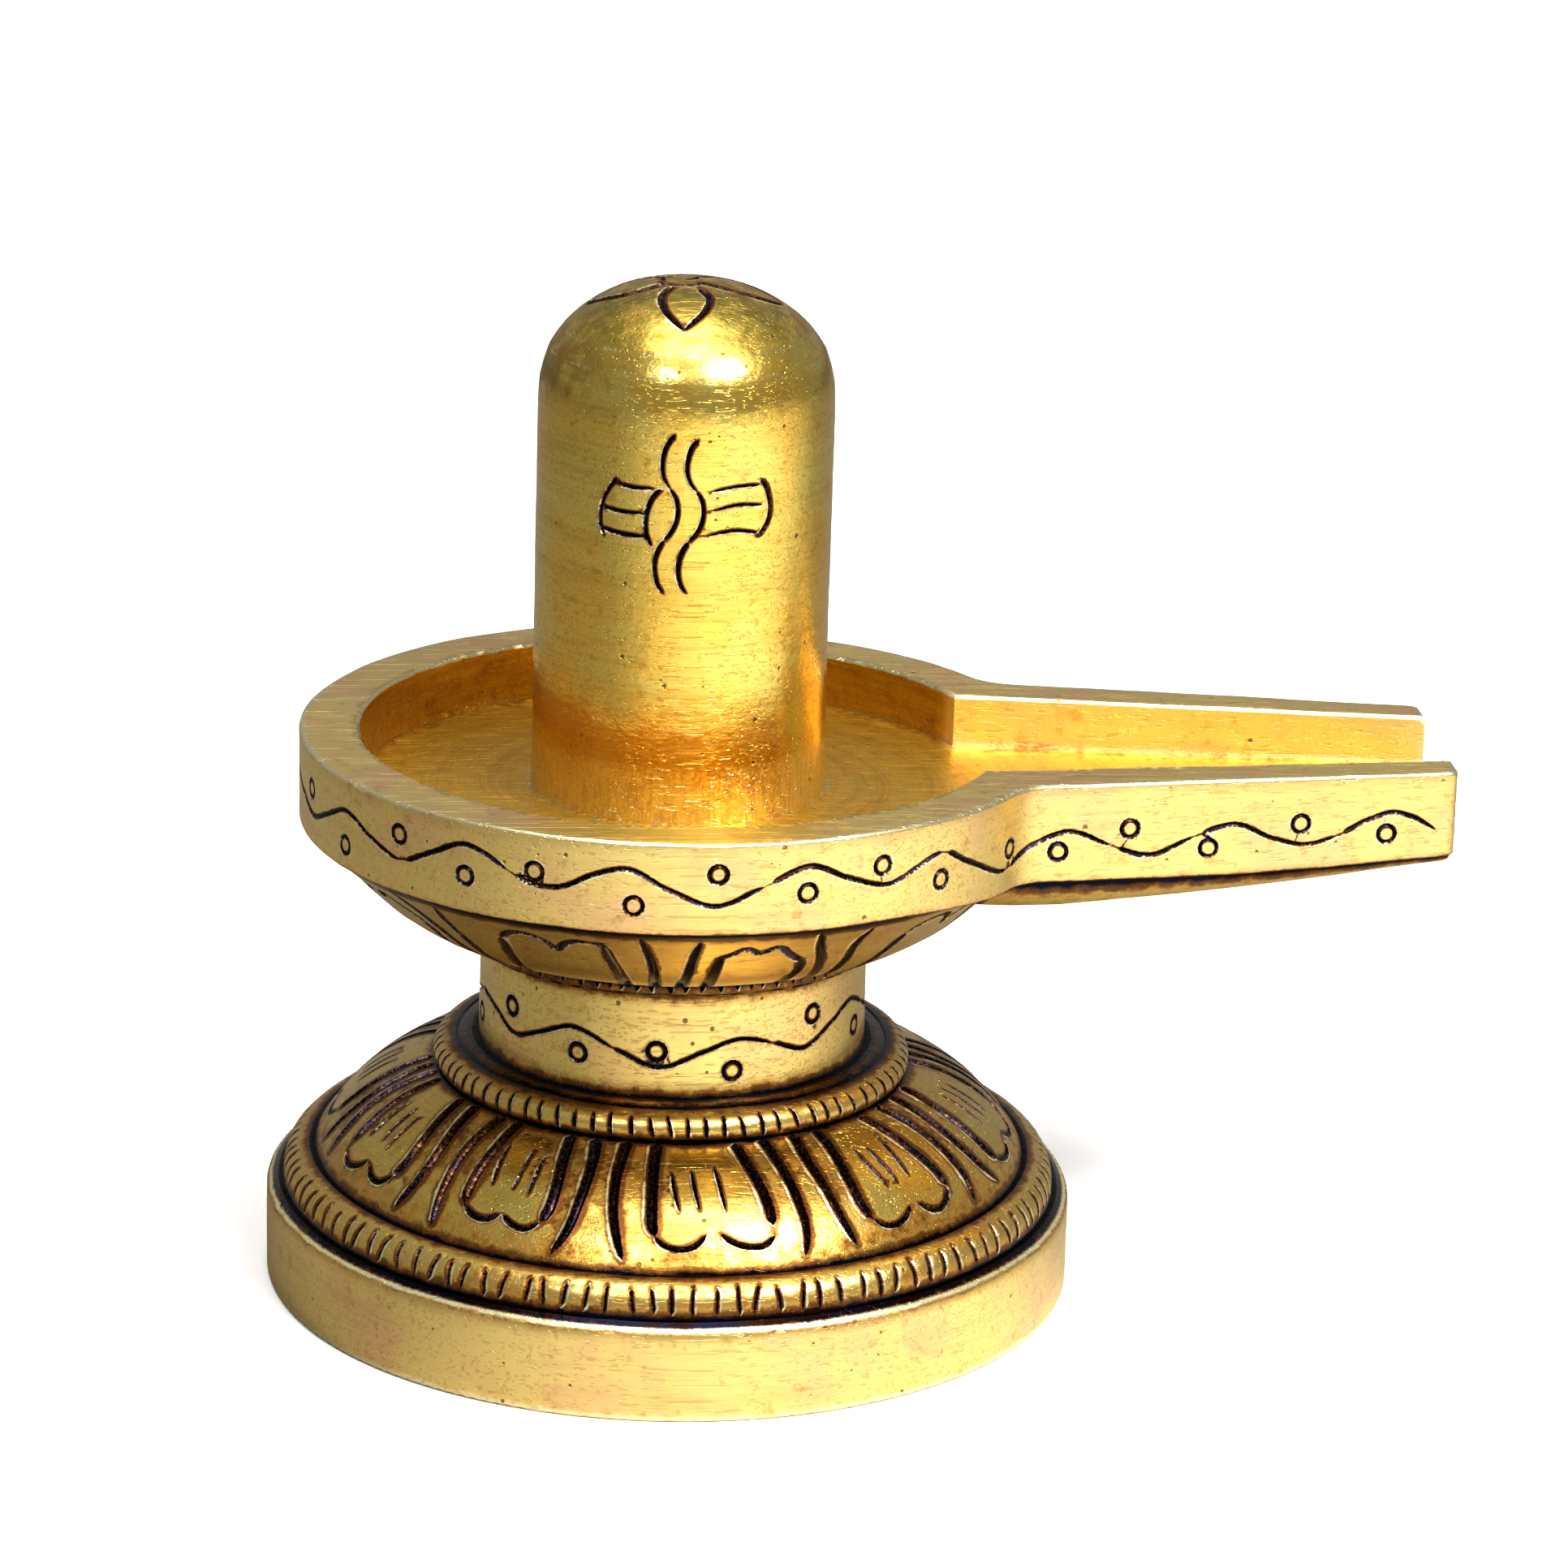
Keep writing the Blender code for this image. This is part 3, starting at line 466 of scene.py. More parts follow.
TICKS, TICK_STRAY = 80, 0.6
ticks = np.arange(TICKS) * 360 / TICKS + hand.uniform(-TICK_STRAY, TICK_STRAY, TICKS)
seed_between(stand, ticks, collar + 0.5, collar + 3.4, 5)
for bearing in ticks:
    slant = hand.uniform(0.0, 0.7)
    low, high = collar + hand.uniform(0.5, 0.9), collar + hand.uniform(2.9, 3.3)
    path = [(bearing + slant, low), (bearing - slant, high)]
    stand.chase(path, hand.uniform(0.3, 0.45), 0.2, (0.6, 0.9))


# ---- The neck ----
# The neck is a plain turned drum. A waving line is chased round it in short pushes, and a
# ringlet is punched into each bend.
def punch(form, bearing, height, radius=0.93, width=0.42, depth=0.2):
    """Strikes a ringlet with a round punch."""
    scale = float(form.metric(np.array([height]))[0])
    angle = np.linspace(0, 2 * math.pi, 14, endpoint=False)
    across, up = radius * np.cos(angle) / scale, radius * np.sin(angle)
    path = np.stack([bearing + across, height + up], 1)
    form.chase(path, width, depth, closed=True)
    form.seeds.append((bearing, height))


stand.turn([(20.03, 26.12)], (0.4, 1.0), wash=(1.0, 0.5))
neck = stand.turn([(20.0, 37.32)], (1.1, 1.2), wash=(0.1, 0.0), pale=0.75) - 0.12
stand.turn([(19.85, 37.48)], (0.4, 1.0), groove=True)

NECK_WAVE = [
    (-75, 6), (-64, 5.1), (-53, 3.6), (-41, 5.0), (-30, 6.4), (-17, 4.9), (-3, 3.2), (9, 4.8),
    (20, 6.0), (31, 5.1), (42, 3.8), (54, 5.4), (66, 6.7), (77, 5.2), (88, 3.6), (99, 5.1),
    (110, 6.4), (121, 5.1), (132, 3.5), (143, 5), (154, 6.3), (165, 5), (176, 3.6), (187, 5),
    (197.5, 6.3), (208, 5), (219, 3.6), (230, 5), (241, 6.4), (252, 5), (263, 3.5), (274, 4.8),
    (285, 6),
]
BREAKS = (0, 5, 9, 13, 17, 21, 25, 29, 32)


def pushes(knots, breaks):
    """Parts a flowing line where the chisel was set down again."""
    line = flowing(knots, 0.3)
    stops = [int(np.hypot(*(line - knots[i]).T).argmin()) for i in breaks]
    return [line[first:last - 1:2] for first, last in zip(stops, stops[1:])]


for path in pushes(np.array(NECK_WAVE) + (FRONT, neck), BREAKS):
    stand.chase(path, (0.52, 0.44), 0.24, (0.8, 2.2))
NECK_RINGLETS = [
    (-77.5, 3.1), (-54.5, 6.4), (-28, 3.8), (-4.2, 4.9), (18, 2.7), (45.5, 7.2), (69.5, 3.5),
    (88, 6.3), (110, 3.4), (132, 6.2), (154, 3.4), (176, 6.3), (197.5, 3.3), (219, 6.3), (241, 3.4),
    (262, 6.2),
]
for bearing, height in NECK_RINGLETS:
    punch(stand, bearing + FRONT, neck + height, 0.95, 0.5, 0.24)


# ---- The lip and the petalled underside of the bowl ----
# Below the bowl the stand spreads like an opening flower: a notched lip on top of the neck,
# then a rising curve with ten upturned petals, cut with the same gouge as the dome.
# Under the lip's overhang, the dark groove and brown wash are partly patina and partly painted shadow.
stand.turn([(21.95, 37.5)], (0.7, 1.1), wash=(1.0, 0.6))
stand.grooves.append(stand.length - 0.1)
stand.turn([(22.24, 37.6), (22.35, 37.85)], (0.3, 1.1), wash=(1.0, 0.6))
lip = stand.turn([(22.35, 38.8)], (0.5, 1.1), wash=(0.4, 0.6))
stand.turn([(22.3, 39.0)], (0.3, 1.1), groove=True)
stand.turn([(22.8, 39.2)], (0.4, 1.1), wash=(0.8, 0.8))
UNDERSIDE = [
    (25.58, 39.85), (27.85, 40.79), (29.74, 41.97), (31.4, 43.33), (32.96, 44.83), (34.55, 46.41),
    (36.32, 48.01), (37.8, 49.3),
]
under = stand.turn(UNDERSIDE, (0.9, 1.0), wash=(0.2, 0.0), pale=0.9)
stand.turn([(37.8, 50.6)], (1.0, 1.2))
stand.grooves.append(stand.creases[-2][0])

NOTCHES = [
    -29.5, -24.5, -19.8, -16.2, -13.3, -9, -5.5, -0.6, 3.5, 7.8, 12.6, 16.9, 20.7, 24, 28, 33, 39.5,
]
bearing = 43.5
while bearing < 326.5:
    NOTCHES.append(bearing)
    bearing += hand.uniform(3.4, 4.6)
seed_between(stand, np.array(NOTCHES) + FRONT, lip + 0.3, lip + 1.3, 3)
for bearing in NOTCHES:
    low, high = lip + hand.uniform(0.0, 0.3), lip + hand.uniform(1.3, 1.7)
    lean = hand.uniform(-0.4, 0.4)
    path = [(bearing + FRONT - lean, low), (bearing + FRONT + lean, high)]
    stand.chase(path, (0.35, hand.uniform(0.65, 0.95)), hand.uniform(0.3, 0.4), (0.5, 0.3))

UNDER_PETALS = [
    {
        "sides": [
            [(-12.4, 2.2), (-11.2, 6.3), (-10.6, 10), (-9.6, 13.6)],
            [(10.3, 2.2), (10.5, 6.3), (10.2, 9.4), (9.4, 12.4), (9, 15.2)],
        ],
        "arcs": [
            [(-9.5, 13.8), (-7, 15.4), (-4, 15.9), (-1.5, 15), (0.1, 12.9)],
            [(0.4, 12.9), (2, 14.5), (5, 15.8), (7.8, 15.6), (9.2, 16)],
        ],
        "lines": [
            [(15, 18), (16, 14.3), (16.7, 10.3), (16.4, 6.3), (16.6, 2.4)],
            [(24.2, 17.4), (23.3, 13.3), (22.7, 9.3), (21.8, 6.3), (21.4, 2.4)],
        ],
    },
    {
        "sides": [
            [(-8.4, 2.2), (-8, 6.3), (-7.7, 9.3), (-7.2, 13.8)],
            [(8.2, 2.2), (8, 6.3), (8.3, 9.3), (7.6, 11.9)],
        ],
        "arcs": [
            [(-7.1, 13.3), (-4.9, 14.4), (-3.4, 15.4), (-1.6, 14.4), (-0.5, 13.6)],
            [(-0.4, 13.8), (1.8, 15.4), (3.8, 14), (6, 12.4), (7.5, 11.4)],
        ],
        "lines": [
            [(7.5, 18.2), (9.5, 14.3), (11.5, 11.3), (13.4, 6.8), (14.6, 2.4)],
            [(17.1, 17.4), (16.5, 14.3), (17.5, 10.3), (18, 6.8), (18.4, 2.4)],
        ],
    },
]
for number in range(10):
    petal = UNDER_PETALS[number % 2]
    middle = FRONT - 20 + 36 * number - (1 if number % 2 else 0)
    for way, width, depth, ends, profile in (
        ("sides", (1.3, 1.0), 0.46, (0.5, 1.2), GOUGE),
        ("arcs", 0.9, 0.36, (1.2, 1.2), SLIT),
        ("lines", (0.75, 1.15), 0.44, (3.2, 0.5), GOUGE),
    ):
        for path in petal[way]:
            stand.chase([(middle + x, under + y) for x, y in path], width, depth, ends, profile)


def edit(form, *steps):
    """Works on the whole mesh of a form: steps are operators with their settings."""
    bpy.context.view_layer.objects.active = form
    form.select_set(True)
    bpy.ops.object.mode_set(mode="EDIT")
    bpy.ops.mesh.select_all(action="SELECT")
    for step, settings in steps:
        step(**settings)
    bpy.ops.object.mode_set(mode="OBJECT")


def cast(name, shells):
    """Joins shells along their borders into one closed form, and notes the marks of its spots."""
    points, faces, total = [], [], 0
    for spots, triangles, marks in shells:
        points.append(spots * MM)
        faces += [[total + i for i in face] for face in triangles]
        total += len(spots)
        notes.append((spots, marks))
    mesh = bpy.data.meshes.new(name)
    mesh.from_pydata(np.concatenate(points).tolist(), [], faces)
    form = bpy.data.objects.new(name, mesh)
    bpy.context.scene.collection.objects.link(form)
    edit(form, (bpy.ops.mesh.remove_doubles, {"threshold": 0.002 * MM}),
         (bpy.ops.mesh.fill_holes, {"sides": 0}),
         (bpy.ops.mesh.normals_make_consistent, {"inside": False}))
    form.select_set(False)
    return form


casting = cast("brass_shiva_lingam", [stand.covered()])


# ---- The yoni bowl and its spout ----
# A round shallow bowl, drawn out into an open spout. Its wall is a flat filed band with a
# waving line and punched ringlets; the rim is filed flat and its edges are a little burred.
BOWL_RADIUS = 38.3
RIM = 59.0
LOW_ROUND, RIM_ROUND = 0.35, 0.4
TIP_X, TIP_HALF, FLARE, FILLET, TIP_ROUND = 79.0, 11.6, 0.1455, 6.0, 1.2
INNER_RADIUS, CHANNEL_TIP_HALF, CHANNEL_FLARE = 32.65, 7.2, 0.118
FLOOR, FLOOR_CROWN = 52.7, 0.6


def arc(centre, radius, start, end, step):
    """Points on an arc, without its last one. Angles are in radians."""
    count = max(2, int(round(abs(end - start) * radius / step)))
    angle = start + (end - start) * np.arange(count) / count
    return np.stack([centre[0] + radius * np.cos(angle), centre[1] + radius * np.sin(angle)], 1)


def straight(start, end, step):
    """Points on a straight line, without its last one."""
    start, end = np.array(start, float), np.array(end, float)
    count = max(1, int(round(np.hypot(*(end - start)) / step)))
    return start + (end - start) * (np.arange(count) / count)[:, None]


def bowl_outline(step):
    """The bowl seen from above: from the tip's middle along the near side, and round."""
    slope = math.atan(FLARE)
    out = np.array([math.sin(slope), math.cos(slope)])
    ahead = np.array([out[1], -out[0]])
    offset = out @ (TIP_X, TIP_HALF)
    lift = offset + FILLET
    hollow = out * lift + ahead * math.sqrt((BOWL_RADIUS + FILLET) ** 2 - lift ** 2)
    turn_in = math.atan2(hollow[1], hollow[0])
    corner_y = (offset - TIP_ROUND - out[0] * (TIP_X - TIP_ROUND)) / out[1]
    corner = np.array([TIP_X - TIP_ROUND, corner_y])
    wall_start = corner + out * TIP_ROUND
    wall_end = hollow - out * FILLET
    far = np.concatenate([
        straight((TIP_X, 0.0), (TIP_X, corner_y), step),
        arc(corner, TIP_ROUND, 0.0, math.pi / 2 - slope, min(step, 0.35)),
        straight(wall_start, wall_end, step),
        arc(hollow, FILLET, math.atan2(-out[1], -out[0]), turn_in - math.pi, step),
        arc((0, 0), BOWL_RADIUS, turn_in, math.pi, step),
    ])
    near = far * (1, -1)
    outline = np.concatenate([near, [(-BOWL_RADIUS, 0.0)], far[:0:-1]])
    outline[:, 0] *= np.where(outline[:, 0] < 0, 1.013, 1.0)
    return outline


LOW_EDGE = [
    (20, 49.6), (25, 49.3), (30, 48.85), (34, 48.7), (50, 48.8), (57, 48.9), (65, 49.2), (71, 49.6),
    (79, 50.0),
]


def low_edge(x):
    """Height of the band's lower edge: it drops where the spout begins, and lifts to its tip."""
    return np.interp(x, *np.array(LOW_EDGE).T)


class Wall(Form):
    """An upright wall. A place on it is a length along its outline and a height."""

    def __init__(self, outline):
        super().__init__()
        self.outline = np.concatenate([outline, outline[:1]])
        self.at = lengths(self.outline)
        self.period = float(self.at[-1])
        normals = edge_normals(outline, closed=True)
        if normals[0] @ (1, 0) < 0:
            normals = -normals
        self.normals = np.concatenate([normals, normals[:1]])

    def read(self, along):
        """Points of the outline and its outward normals."""
        values = read(along % self.period, self.at, self.outline, self.normals)
        return np.stack(values[:2], 1), np.stack(values[2:], 1)

    def flat(self, spots):
        radius = np.exp(-2 * math.pi * (spots[:, 1] - RIM) / self.period)
        return around(radius, 2 * math.pi * spots[:, 0] / self.period)

    def drawn(self, flat):
        along = np.arctan2(flat[:, 0], -flat[:, 1]) / (2 * math.pi) * self.period
        rise = np.log(np.hypot(*flat.T)) * self.period / (2 * math.pi)
        return np.stack([along, RIM - rise], 1)

    def place(self, spots, deep):
        plan, out = self.read(spots[:, 0])
        return np.column_stack([plan - out * deep[:, None], spots[:, 1]])

    def marks(self, spots):
        x = self.read(spots[:, 0])[0][:, 0]
        groove = np.clip(spots[:, 1] - low_edge(x) + 1.3, 0, FAR)
        edge = np.minimum(RIM - spots[:, 1], FAR)
        return {"groove": groove, "edge": edge, "pale": 1.0, "run": spots[:, 1]}

    def along(self, bearing):
        """Length along the outline to a bearing on the bowl's near side."""
        turn = math.radians(bearing)
        spot = np.array([math.sin(turn), -math.cos(turn)]) * BOWL_RADIUS
        half = len(self.outline) // 2 + 1
        return float(self.at[np.hypot(*(self.outline[:half] - spot).T).argmin()])


class Plan(Form):
    """A level surface seen from above, at the height that a function gives."""

    def __init__(self, height, tones):
        super().__init__()
        self.height, self.marks = height, tones

    def place(self, spots, deep):
        return np.column_stack([spots, self.height(spots) - deep])


def gap_to(outline, spots):
    """How far each spot lies inside a closed outline; below 0 outside it."""
    ends = np.roll(outline, -1, axis=0)
    run = ends - outline
    gaps, inside = [], []
    for part in np.array_split(spots, max(1, len(spots) // 2000)):
        off = part[:, None] - outline
        share = np.clip((off * run).sum(2) / (run * run).sum(1), 0, 1)
        gaps.append(np.hypot(*np.moveaxis(off - share[..., None] * run, 2, 0)).min(1))
        above = (outline[:, 1] > part[:, None, 1]) != (ends[:, 1] > part[:, None, 1])
        level = np.where(run[:, 1] == 0, 1e-9, run[:, 1])
        cross = outline[:, 0] + (part[:, None, 1] - outline[:, 1]) * run[:, 0] / level
        inside.append((above & (part[:, None, 0] < cross)).sum(1) % 2 == 1)
    gaps, inside = np.concatenate(gaps), np.concatenate(inside)
    return np.where(inside, gaps, -gaps)


def honeycomb(outline, cell, margin):
    """Evenly spread spots inside an outline."""
    low, high = outline.min(0), outline.max(0)
    spots = []
    for number, y in enumerate(np.arange(low[1], high[1], cell * 0.866)):
        across = np.arange(low[0], high[0], cell) + cell * 0.5 * (number % 2)
        spots.append(np.stack([across, np.full(len(across), y)], 1))
    spots = np.concatenate(spots)
    return spots[gap_to(outline, spots) > margin]


def strips(rings, marks):
    """A shell of quads between rings of equal count."""
    count = len(rings[0])
    faces = []
    for low in range(0, (len(rings) - 1) * count, count):
        for i in range(count):
            j = (i + 1) % count
            faces.append((low + i, low + j, low + count + j, low + count + i))
    given = {}
    for name, values in marks.items():
        levels = [np.broadcast_to(np.asarray(value, float), count) for value in values]
        given[name] = np.concatenate(levels)
    return np.concatenate(rings), faces, given


band = Wall(bowl_outline(0.3))
BAND_CELL = 1.15
stations = bowl_outline(BAND_CELL)
hops = np.hypot(*np.diff(np.concatenate([stations, stations[:1]]), axis=0).T)
at_station = np.concatenate(([0.0], np.cumsum(hops)))[:-1] * band.period / hops.sum()
spots_at, out_at = band.read(at_station)
low_at = low_edge(spots_at[:, 0])

corner_gaps = np.hypot(*(band.outline[:200] - (TIP_X, -TIP_HALF)).T)
TIP_CORNER = float(band.at[corner_gaps.argmin()])


def on_spout(x):
    """Length along the outline to a place on the spout's near wall, seen at x."""
    return TIP_CORNER + (79.65 - x) / 0.976


LEVEL = 49.6
SPOUT_WAVE = [
    (77.6, 53.0), (75.6, 54.2), (73.4, 54.9), (70.4, 54.2), (67.2, 52.6), (64, 51.9), (60.6, 52.7),
    (56.7, 54.3), (52.4, 53.1), (47.9, 51.3), (44, 52.5), (39.7, 54.1), (35.6, 52.8), (31.5, 51.4),
]
ROUND_WAVE = [
    (49.5, 4.2), (43, 6.0), (38, 5), (33, 3.9), (26.5, 5), (20, 6.7), (13, 4.9), (6, 3.1),
    (-0.6, 4.6), (-7.5, 6.7), (-12, 5.9), (-17, 4.3), (-21, 4.2), (-25, 5.2), (-28.5, 6.4),
    (-32, 7.0), (-38, 5.4), (-45, 3.6), (-51, 4.7), (-58, 6.2), (-64, 4.7), (-70, 3.2), (-77, 4.4),
]
SPOUT_RINGLETS = [(32, 53.4), (38.6, 52), (45.9, 54.2), (54, 51.9), (63.5, 54.1), (72.5, 52.7)]
ROUND_RINGLETS = [
    (-71.5, 5.8), (-58, 2.6), (-45, 6.2), (-32, 3.8), (-20.8, 5.5), (-6, 3), (6.3, 6.3),
    (19.8, 4), (31.8, 5.9), (43.3, 3.2),
]


def on_band(spout_places, round_places):
    """Places on the near side of the band: by x on the spout, by bearing round the bowl."""
    places = [(on_spout(x), z) for x, z in spout_places]
    return places + [(band.along(x + FRONT), LEVEL + y) for x, y in round_places]


half_length = band.period / 2
wave = on_band(SPOUT_WAVE, ROUND_WAVE) + [(half_length, LEVEL + 6.3)]
WAVE_BREAKS = (0, 4, 8, 10, 13, 15, 20, 27, 31, len(wave) - 1)
for side in (1, -1):
    for path in pushes(np.array(wave), WAVE_BREAKS):
        path = path if side > 0 else path * (-1, 1) + (band.period, 0)
        band.chase(path, (0.42, 0.56), 0.24, (2.0, 1.0))
    for x, y in on_band(SPOUT_RINGLETS, ROUND_RINGLETS):
        punch(band, x if side > 0 else band.period - x, y, 0.92, 0.42, 0.2)
punch(band, half_length, LEVEL + 3.0, 0.92, 0.38, 0.18)

band_low = np.stack([at_station, low_at + LOW_ROUND], 1)
band_top = np.stack([at_station, np.full(len(at_station), RIM - RIM_ROUND)], 1)
rows = []
for number in range(1, 8):
    share = number / 8
    row = band_low * (1 - share) + band_top * share
    row[:, 0] += (0.5 * (number % 2)) * BAND_CELL
    rows.append(row)
band_shell = band.skin([band_low, band_top], np.concatenate(rows))


def rounding(level, reach, way, count=3):
    """Rings that round the band's wall over into a level face."""
    rings = []
    for step in range(count + 1):
        angle = math.pi / 2 * step / count
        plan = spots_at - out_at * (reach * (1 - math.cos(angle)))
        height = level + way * reach * (math.sin(angle) - 1)
        rings.append(np.column_stack([plan, height]))
    return rings


full = np.full(len(at_station), RIM)
rim_rings = rounding(full, RIM_ROUND, 1)
rim_marks = {"edge": [0.4, 0.2, 0.0, 0.1], "pale": [1.0] * 4, "run": [RIM] * 4}
rim_shell = strips(rim_rings, rim_marks)
low_rings = rounding(low_at, LOW_ROUND, -1)
low_marks = {"groove": [1.65, 1.1, 0.6, 0.0], "pale": [1.0, 0.8, 0.5, 0.3], "run": [LEVEL] * 4}
low_shell = strips(low_rings, low_marks)
top_outline, bottom_outline = rim_rings[-1][:, :2], low_rings[-1][:, :2]


def rim_tones(spots):
    """The rim's flat top is filed pale, and worn along its outer edge."""
    edge = np.clip(gap_to(top_outline, spots), 0, FAR)
    return {"edge": edge, "pale": 1.0, "run": np.hypot(*spots.T)}


top = Plan(lambda spots: np.full(len(spots), RIM), rim_tones)
top_shell = top.skin([top_outline], honeycomb(top_outline, 1.3, 0.6), False)
bottom = Plan(lambda spots: low_edge(spots[:, 0]), lambda spots: {"groove": 0.0, "wash": 1.0})
bottom_shell = bottom.skin([bottom_outline], honeycomb(bottom_outline, 3.0, 1.0), False)


def eased(values):
    """0 to 1 with soft ends."""
    values = np.clip(values, 0, 1)
    return values * values * (3 - 2 * values)


BOWL_FALL, SPOUT_FALL, SPOUT_FOOT = 0.65, 0.5, 36


def drained(shells, base=-100.0):
    """Lowers what stands above base a little towards the spout's tip, so that water runs off."""
    for spots, _, _ in shells:
        x, y, z = spots.T
        fall = BOWL_FALL * eased((x + 0.35 * y) / SPOUT_FOOT)
        fall = fall + SPOUT_FALL * np.clip((x - SPOUT_FOOT) / (TIP_X - SPOUT_FOOT), 0, 1)
        spots[:, 2] -= fall * np.clip((z - base) / 1.5, 0, 1)
    return shells


bowl = cast("bowl", drained([band_shell, rim_shell, low_shell, top_shell, bottom_shell]))


def channel_half(x):
    """Half of the channel's width."""
    return CHANNEL_TIP_HALF + (TIP_X - x) * CHANNEL_FLARE


def hollow_outline(step):
    """The hollow seen from above, run out past the spout's tip."""
    end = TIP_X + 4
    offset = channel_half(0.0) / math.hypot(1, CHANNEL_FLARE)
    corner = math.asin(offset / INNER_RADIUS) - math.atan(CHANNEL_FLARE)
    meet = (INNER_RADIUS * math.cos(corner), INNER_RADIUS * math.sin(corner))
    far = np.concatenate([
        straight((end, 0.0), (end, channel_half(end)), step),
        straight((end, channel_half(end)), meet, step),
        arc((0, 0), INNER_RADIUS, corner, math.pi, step),
    ])
    return np.concatenate([far * (1, -1), [(-INNER_RADIUS, 0.0)], far[:0:-1]])


def floor_height(spots):
    """The floor rises a little towards the lingam."""
    share = (INNER_RADIUS - np.hypot(*spots.T)) / (INNER_RADIUS - 15.0)
    return FLOOR + FLOOR_CROWN * np.clip(share, 0, 1)


hollow = hollow_outline(1.2)
hollow_out = edge_normals(hollow, closed=True)
if hollow_out[0] @ (1, 0) < 0:
    hollow_out = -hollow_out
# The hollow's wall: how far each ring lies outside the outline, and its rise from the floor.
HOLLOW_WALL = [
    (-0.6, 0.0), (-0.18, 0.15), (0.0, 0.6), (0.0, 1.6), (0.0, 2.8), (0.0, 4.0), (0.0, 5.1),
    (0.0, RIM - 0.3 - FLOOR), (0.3, RIM - FLOOR), (1.1, RIM + 0.8 - FLOOR)]
rings = []
for outset, rise in HOLLOW_WALL:
    plan = hollow + hollow_out * outset
    level = floor_height(plan) if rise == 0 else np.full(len(plan), FLOOR + rise)
    rings.append(np.column_stack([plan, level]))
# Painted shade and bounced light: the hollow's wall is painted a deeper ochre, strongest low down and
# fading towards the rim, left off the spout wall and lessened on the near wall.
wall_marks = {
    "ochre": [1.0] * 7 + [0.8, 0.2, 0.0], "run": [rise for _, rise in HOLLOW_WALL],
    "edge": [FAR] * 6 + [1.2, 0.3, 0.0, 0.0], "wash": [0.75] * 4 + [0.7, 0.65, 0.6, 0.4, 0.1, 0.0],
}
wall_shell = strips(rings, wall_marks)
wall_spots, _, wall_marks = wall_shell
on_spout_wall = np.clip(wall_spots[:, 0] - 28.5, 0, 1)
less_shade_and_wash = 1 - 0.75 * np.clip((-wall_spots[:, 1] - 5) / 15, 0, 1)
above_floor = np.clip((wall_spots[:, 2] - FLOOR) / 1.2, 0, 1)
wall_marks["ochre"] = wall_marks["ochre"] * (1 - on_spout_wall) * less_shade_and_wash
wall_marks["wash"] = wall_marks["wash"] * less_shade_and_wash * (1 - on_spout_wall * above_floor)
wall_marks["pale"] = 0.85 * on_spout_wall
wall_marks["grit"] = 0.9 * on_spout_wall


def floor_tones(spots):
    """The floor is rough and painted a deeper ochre for shade and bounced light, less in the spout;
    its brown wash is strongest in its corner with the wall.
    """
    corner = np.clip(gap_to(hollow, spots), 0, FAR)
    in_spout = np.clip((spots[:, 0] - 26) / 8, 0, 1)
    wash = np.clip(0.8 - corner / 5, 0.5 - 0.3 * in_spout, 1)
    return {"ochre": 0.85 - 0.5 * in_spout, "grit": 0.8, "run": np.hypot(*spots.T), "wash": wash}


floor = Plan(floor_height, floor_tones)
floor_edge = rings[0][:, :2]
floor_shell = floor.skin([floor_edge], honeycomb(floor_edge, 1.35, 0.6), False)
hollow_form = cast("hollow", drained([wall_shell, floor_shell], FLOOR + FLOOR_CROWN))


def fuse(body, tool, operation):
    """Joins a form to the casting or cuts it out."""
    bpy.context.view_layer.objects.active = body
    step = body.modifiers.new(tool.name, "BOOLEAN")
    step.operation = operation
    step.solver = "EXACT"
    step.object = tool
    bpy.ops.object.modifier_apply(modifier=step.name)
    bpy.data.objects.remove(tool)


fuse(bowl, hollow_form, "DIFFERENCE")


# ---- The keel under the spout ----
# The spout is thickened below by a rounded keel that grows out of the flower. It was left
# rougher than the rest and holds an orange-brown wash.
KEEL_START, KEEL_END, KEEL_IN = 22.0, 78.75, 0.45
keel_tip = [KEEL_END - 0.7, KEEL_END - 0.25, KEEL_END]
keel_x = np.concatenate([np.arange(KEEL_START, KEEL_END - 0.8, 1.25), keel_tip])
swing = np.radians(np.concatenate([[-90, -88, -84], np.arange(-78, 79, 6), [84, 88, 90]]))
rings = []
for number, x in enumerate(keel_x):
    pull = {len(keel_x) - 2: 0.2, len(keel_x) - 1: 0.7}.get(number, 0.0)
    half = TIP_HALF + (TIP_X - x) * FLARE - KEEL_IN - pull
    deep = 2.0 + 4.0 * min(1.0, (TIP_X - x) / (TIP_X - BOWL_RADIUS)) - pull
    edge = float(low_edge(x))
    lower = [(x, half * math.sin(a), edge - deep * math.cos(a)) for a in swing]
    rings.append(np.array(lower + [(x, half, edge + 0.9), (x, -half, edge + 0.9)]))
keel_gap = [6.0 * (1 - abs(math.sin(a))) ** 0.5 for a in swing] + [0.0, 0.0]
keel_marks = {
    "groove": keel_gap, "wash": 0.6, "pale": 0.3, "grit": 1.0,
    "run": np.degrees(np.append(swing, [2, -2])) * 0.15,
}
keel_shell = strips(rings, {name: [value] * len(rings) for name, value in keel_marks.items()})
keel = cast("keel", drained([keel_shell]))
fuse(bowl, keel, "UNION")
fuse(casting, bowl, "UNION")


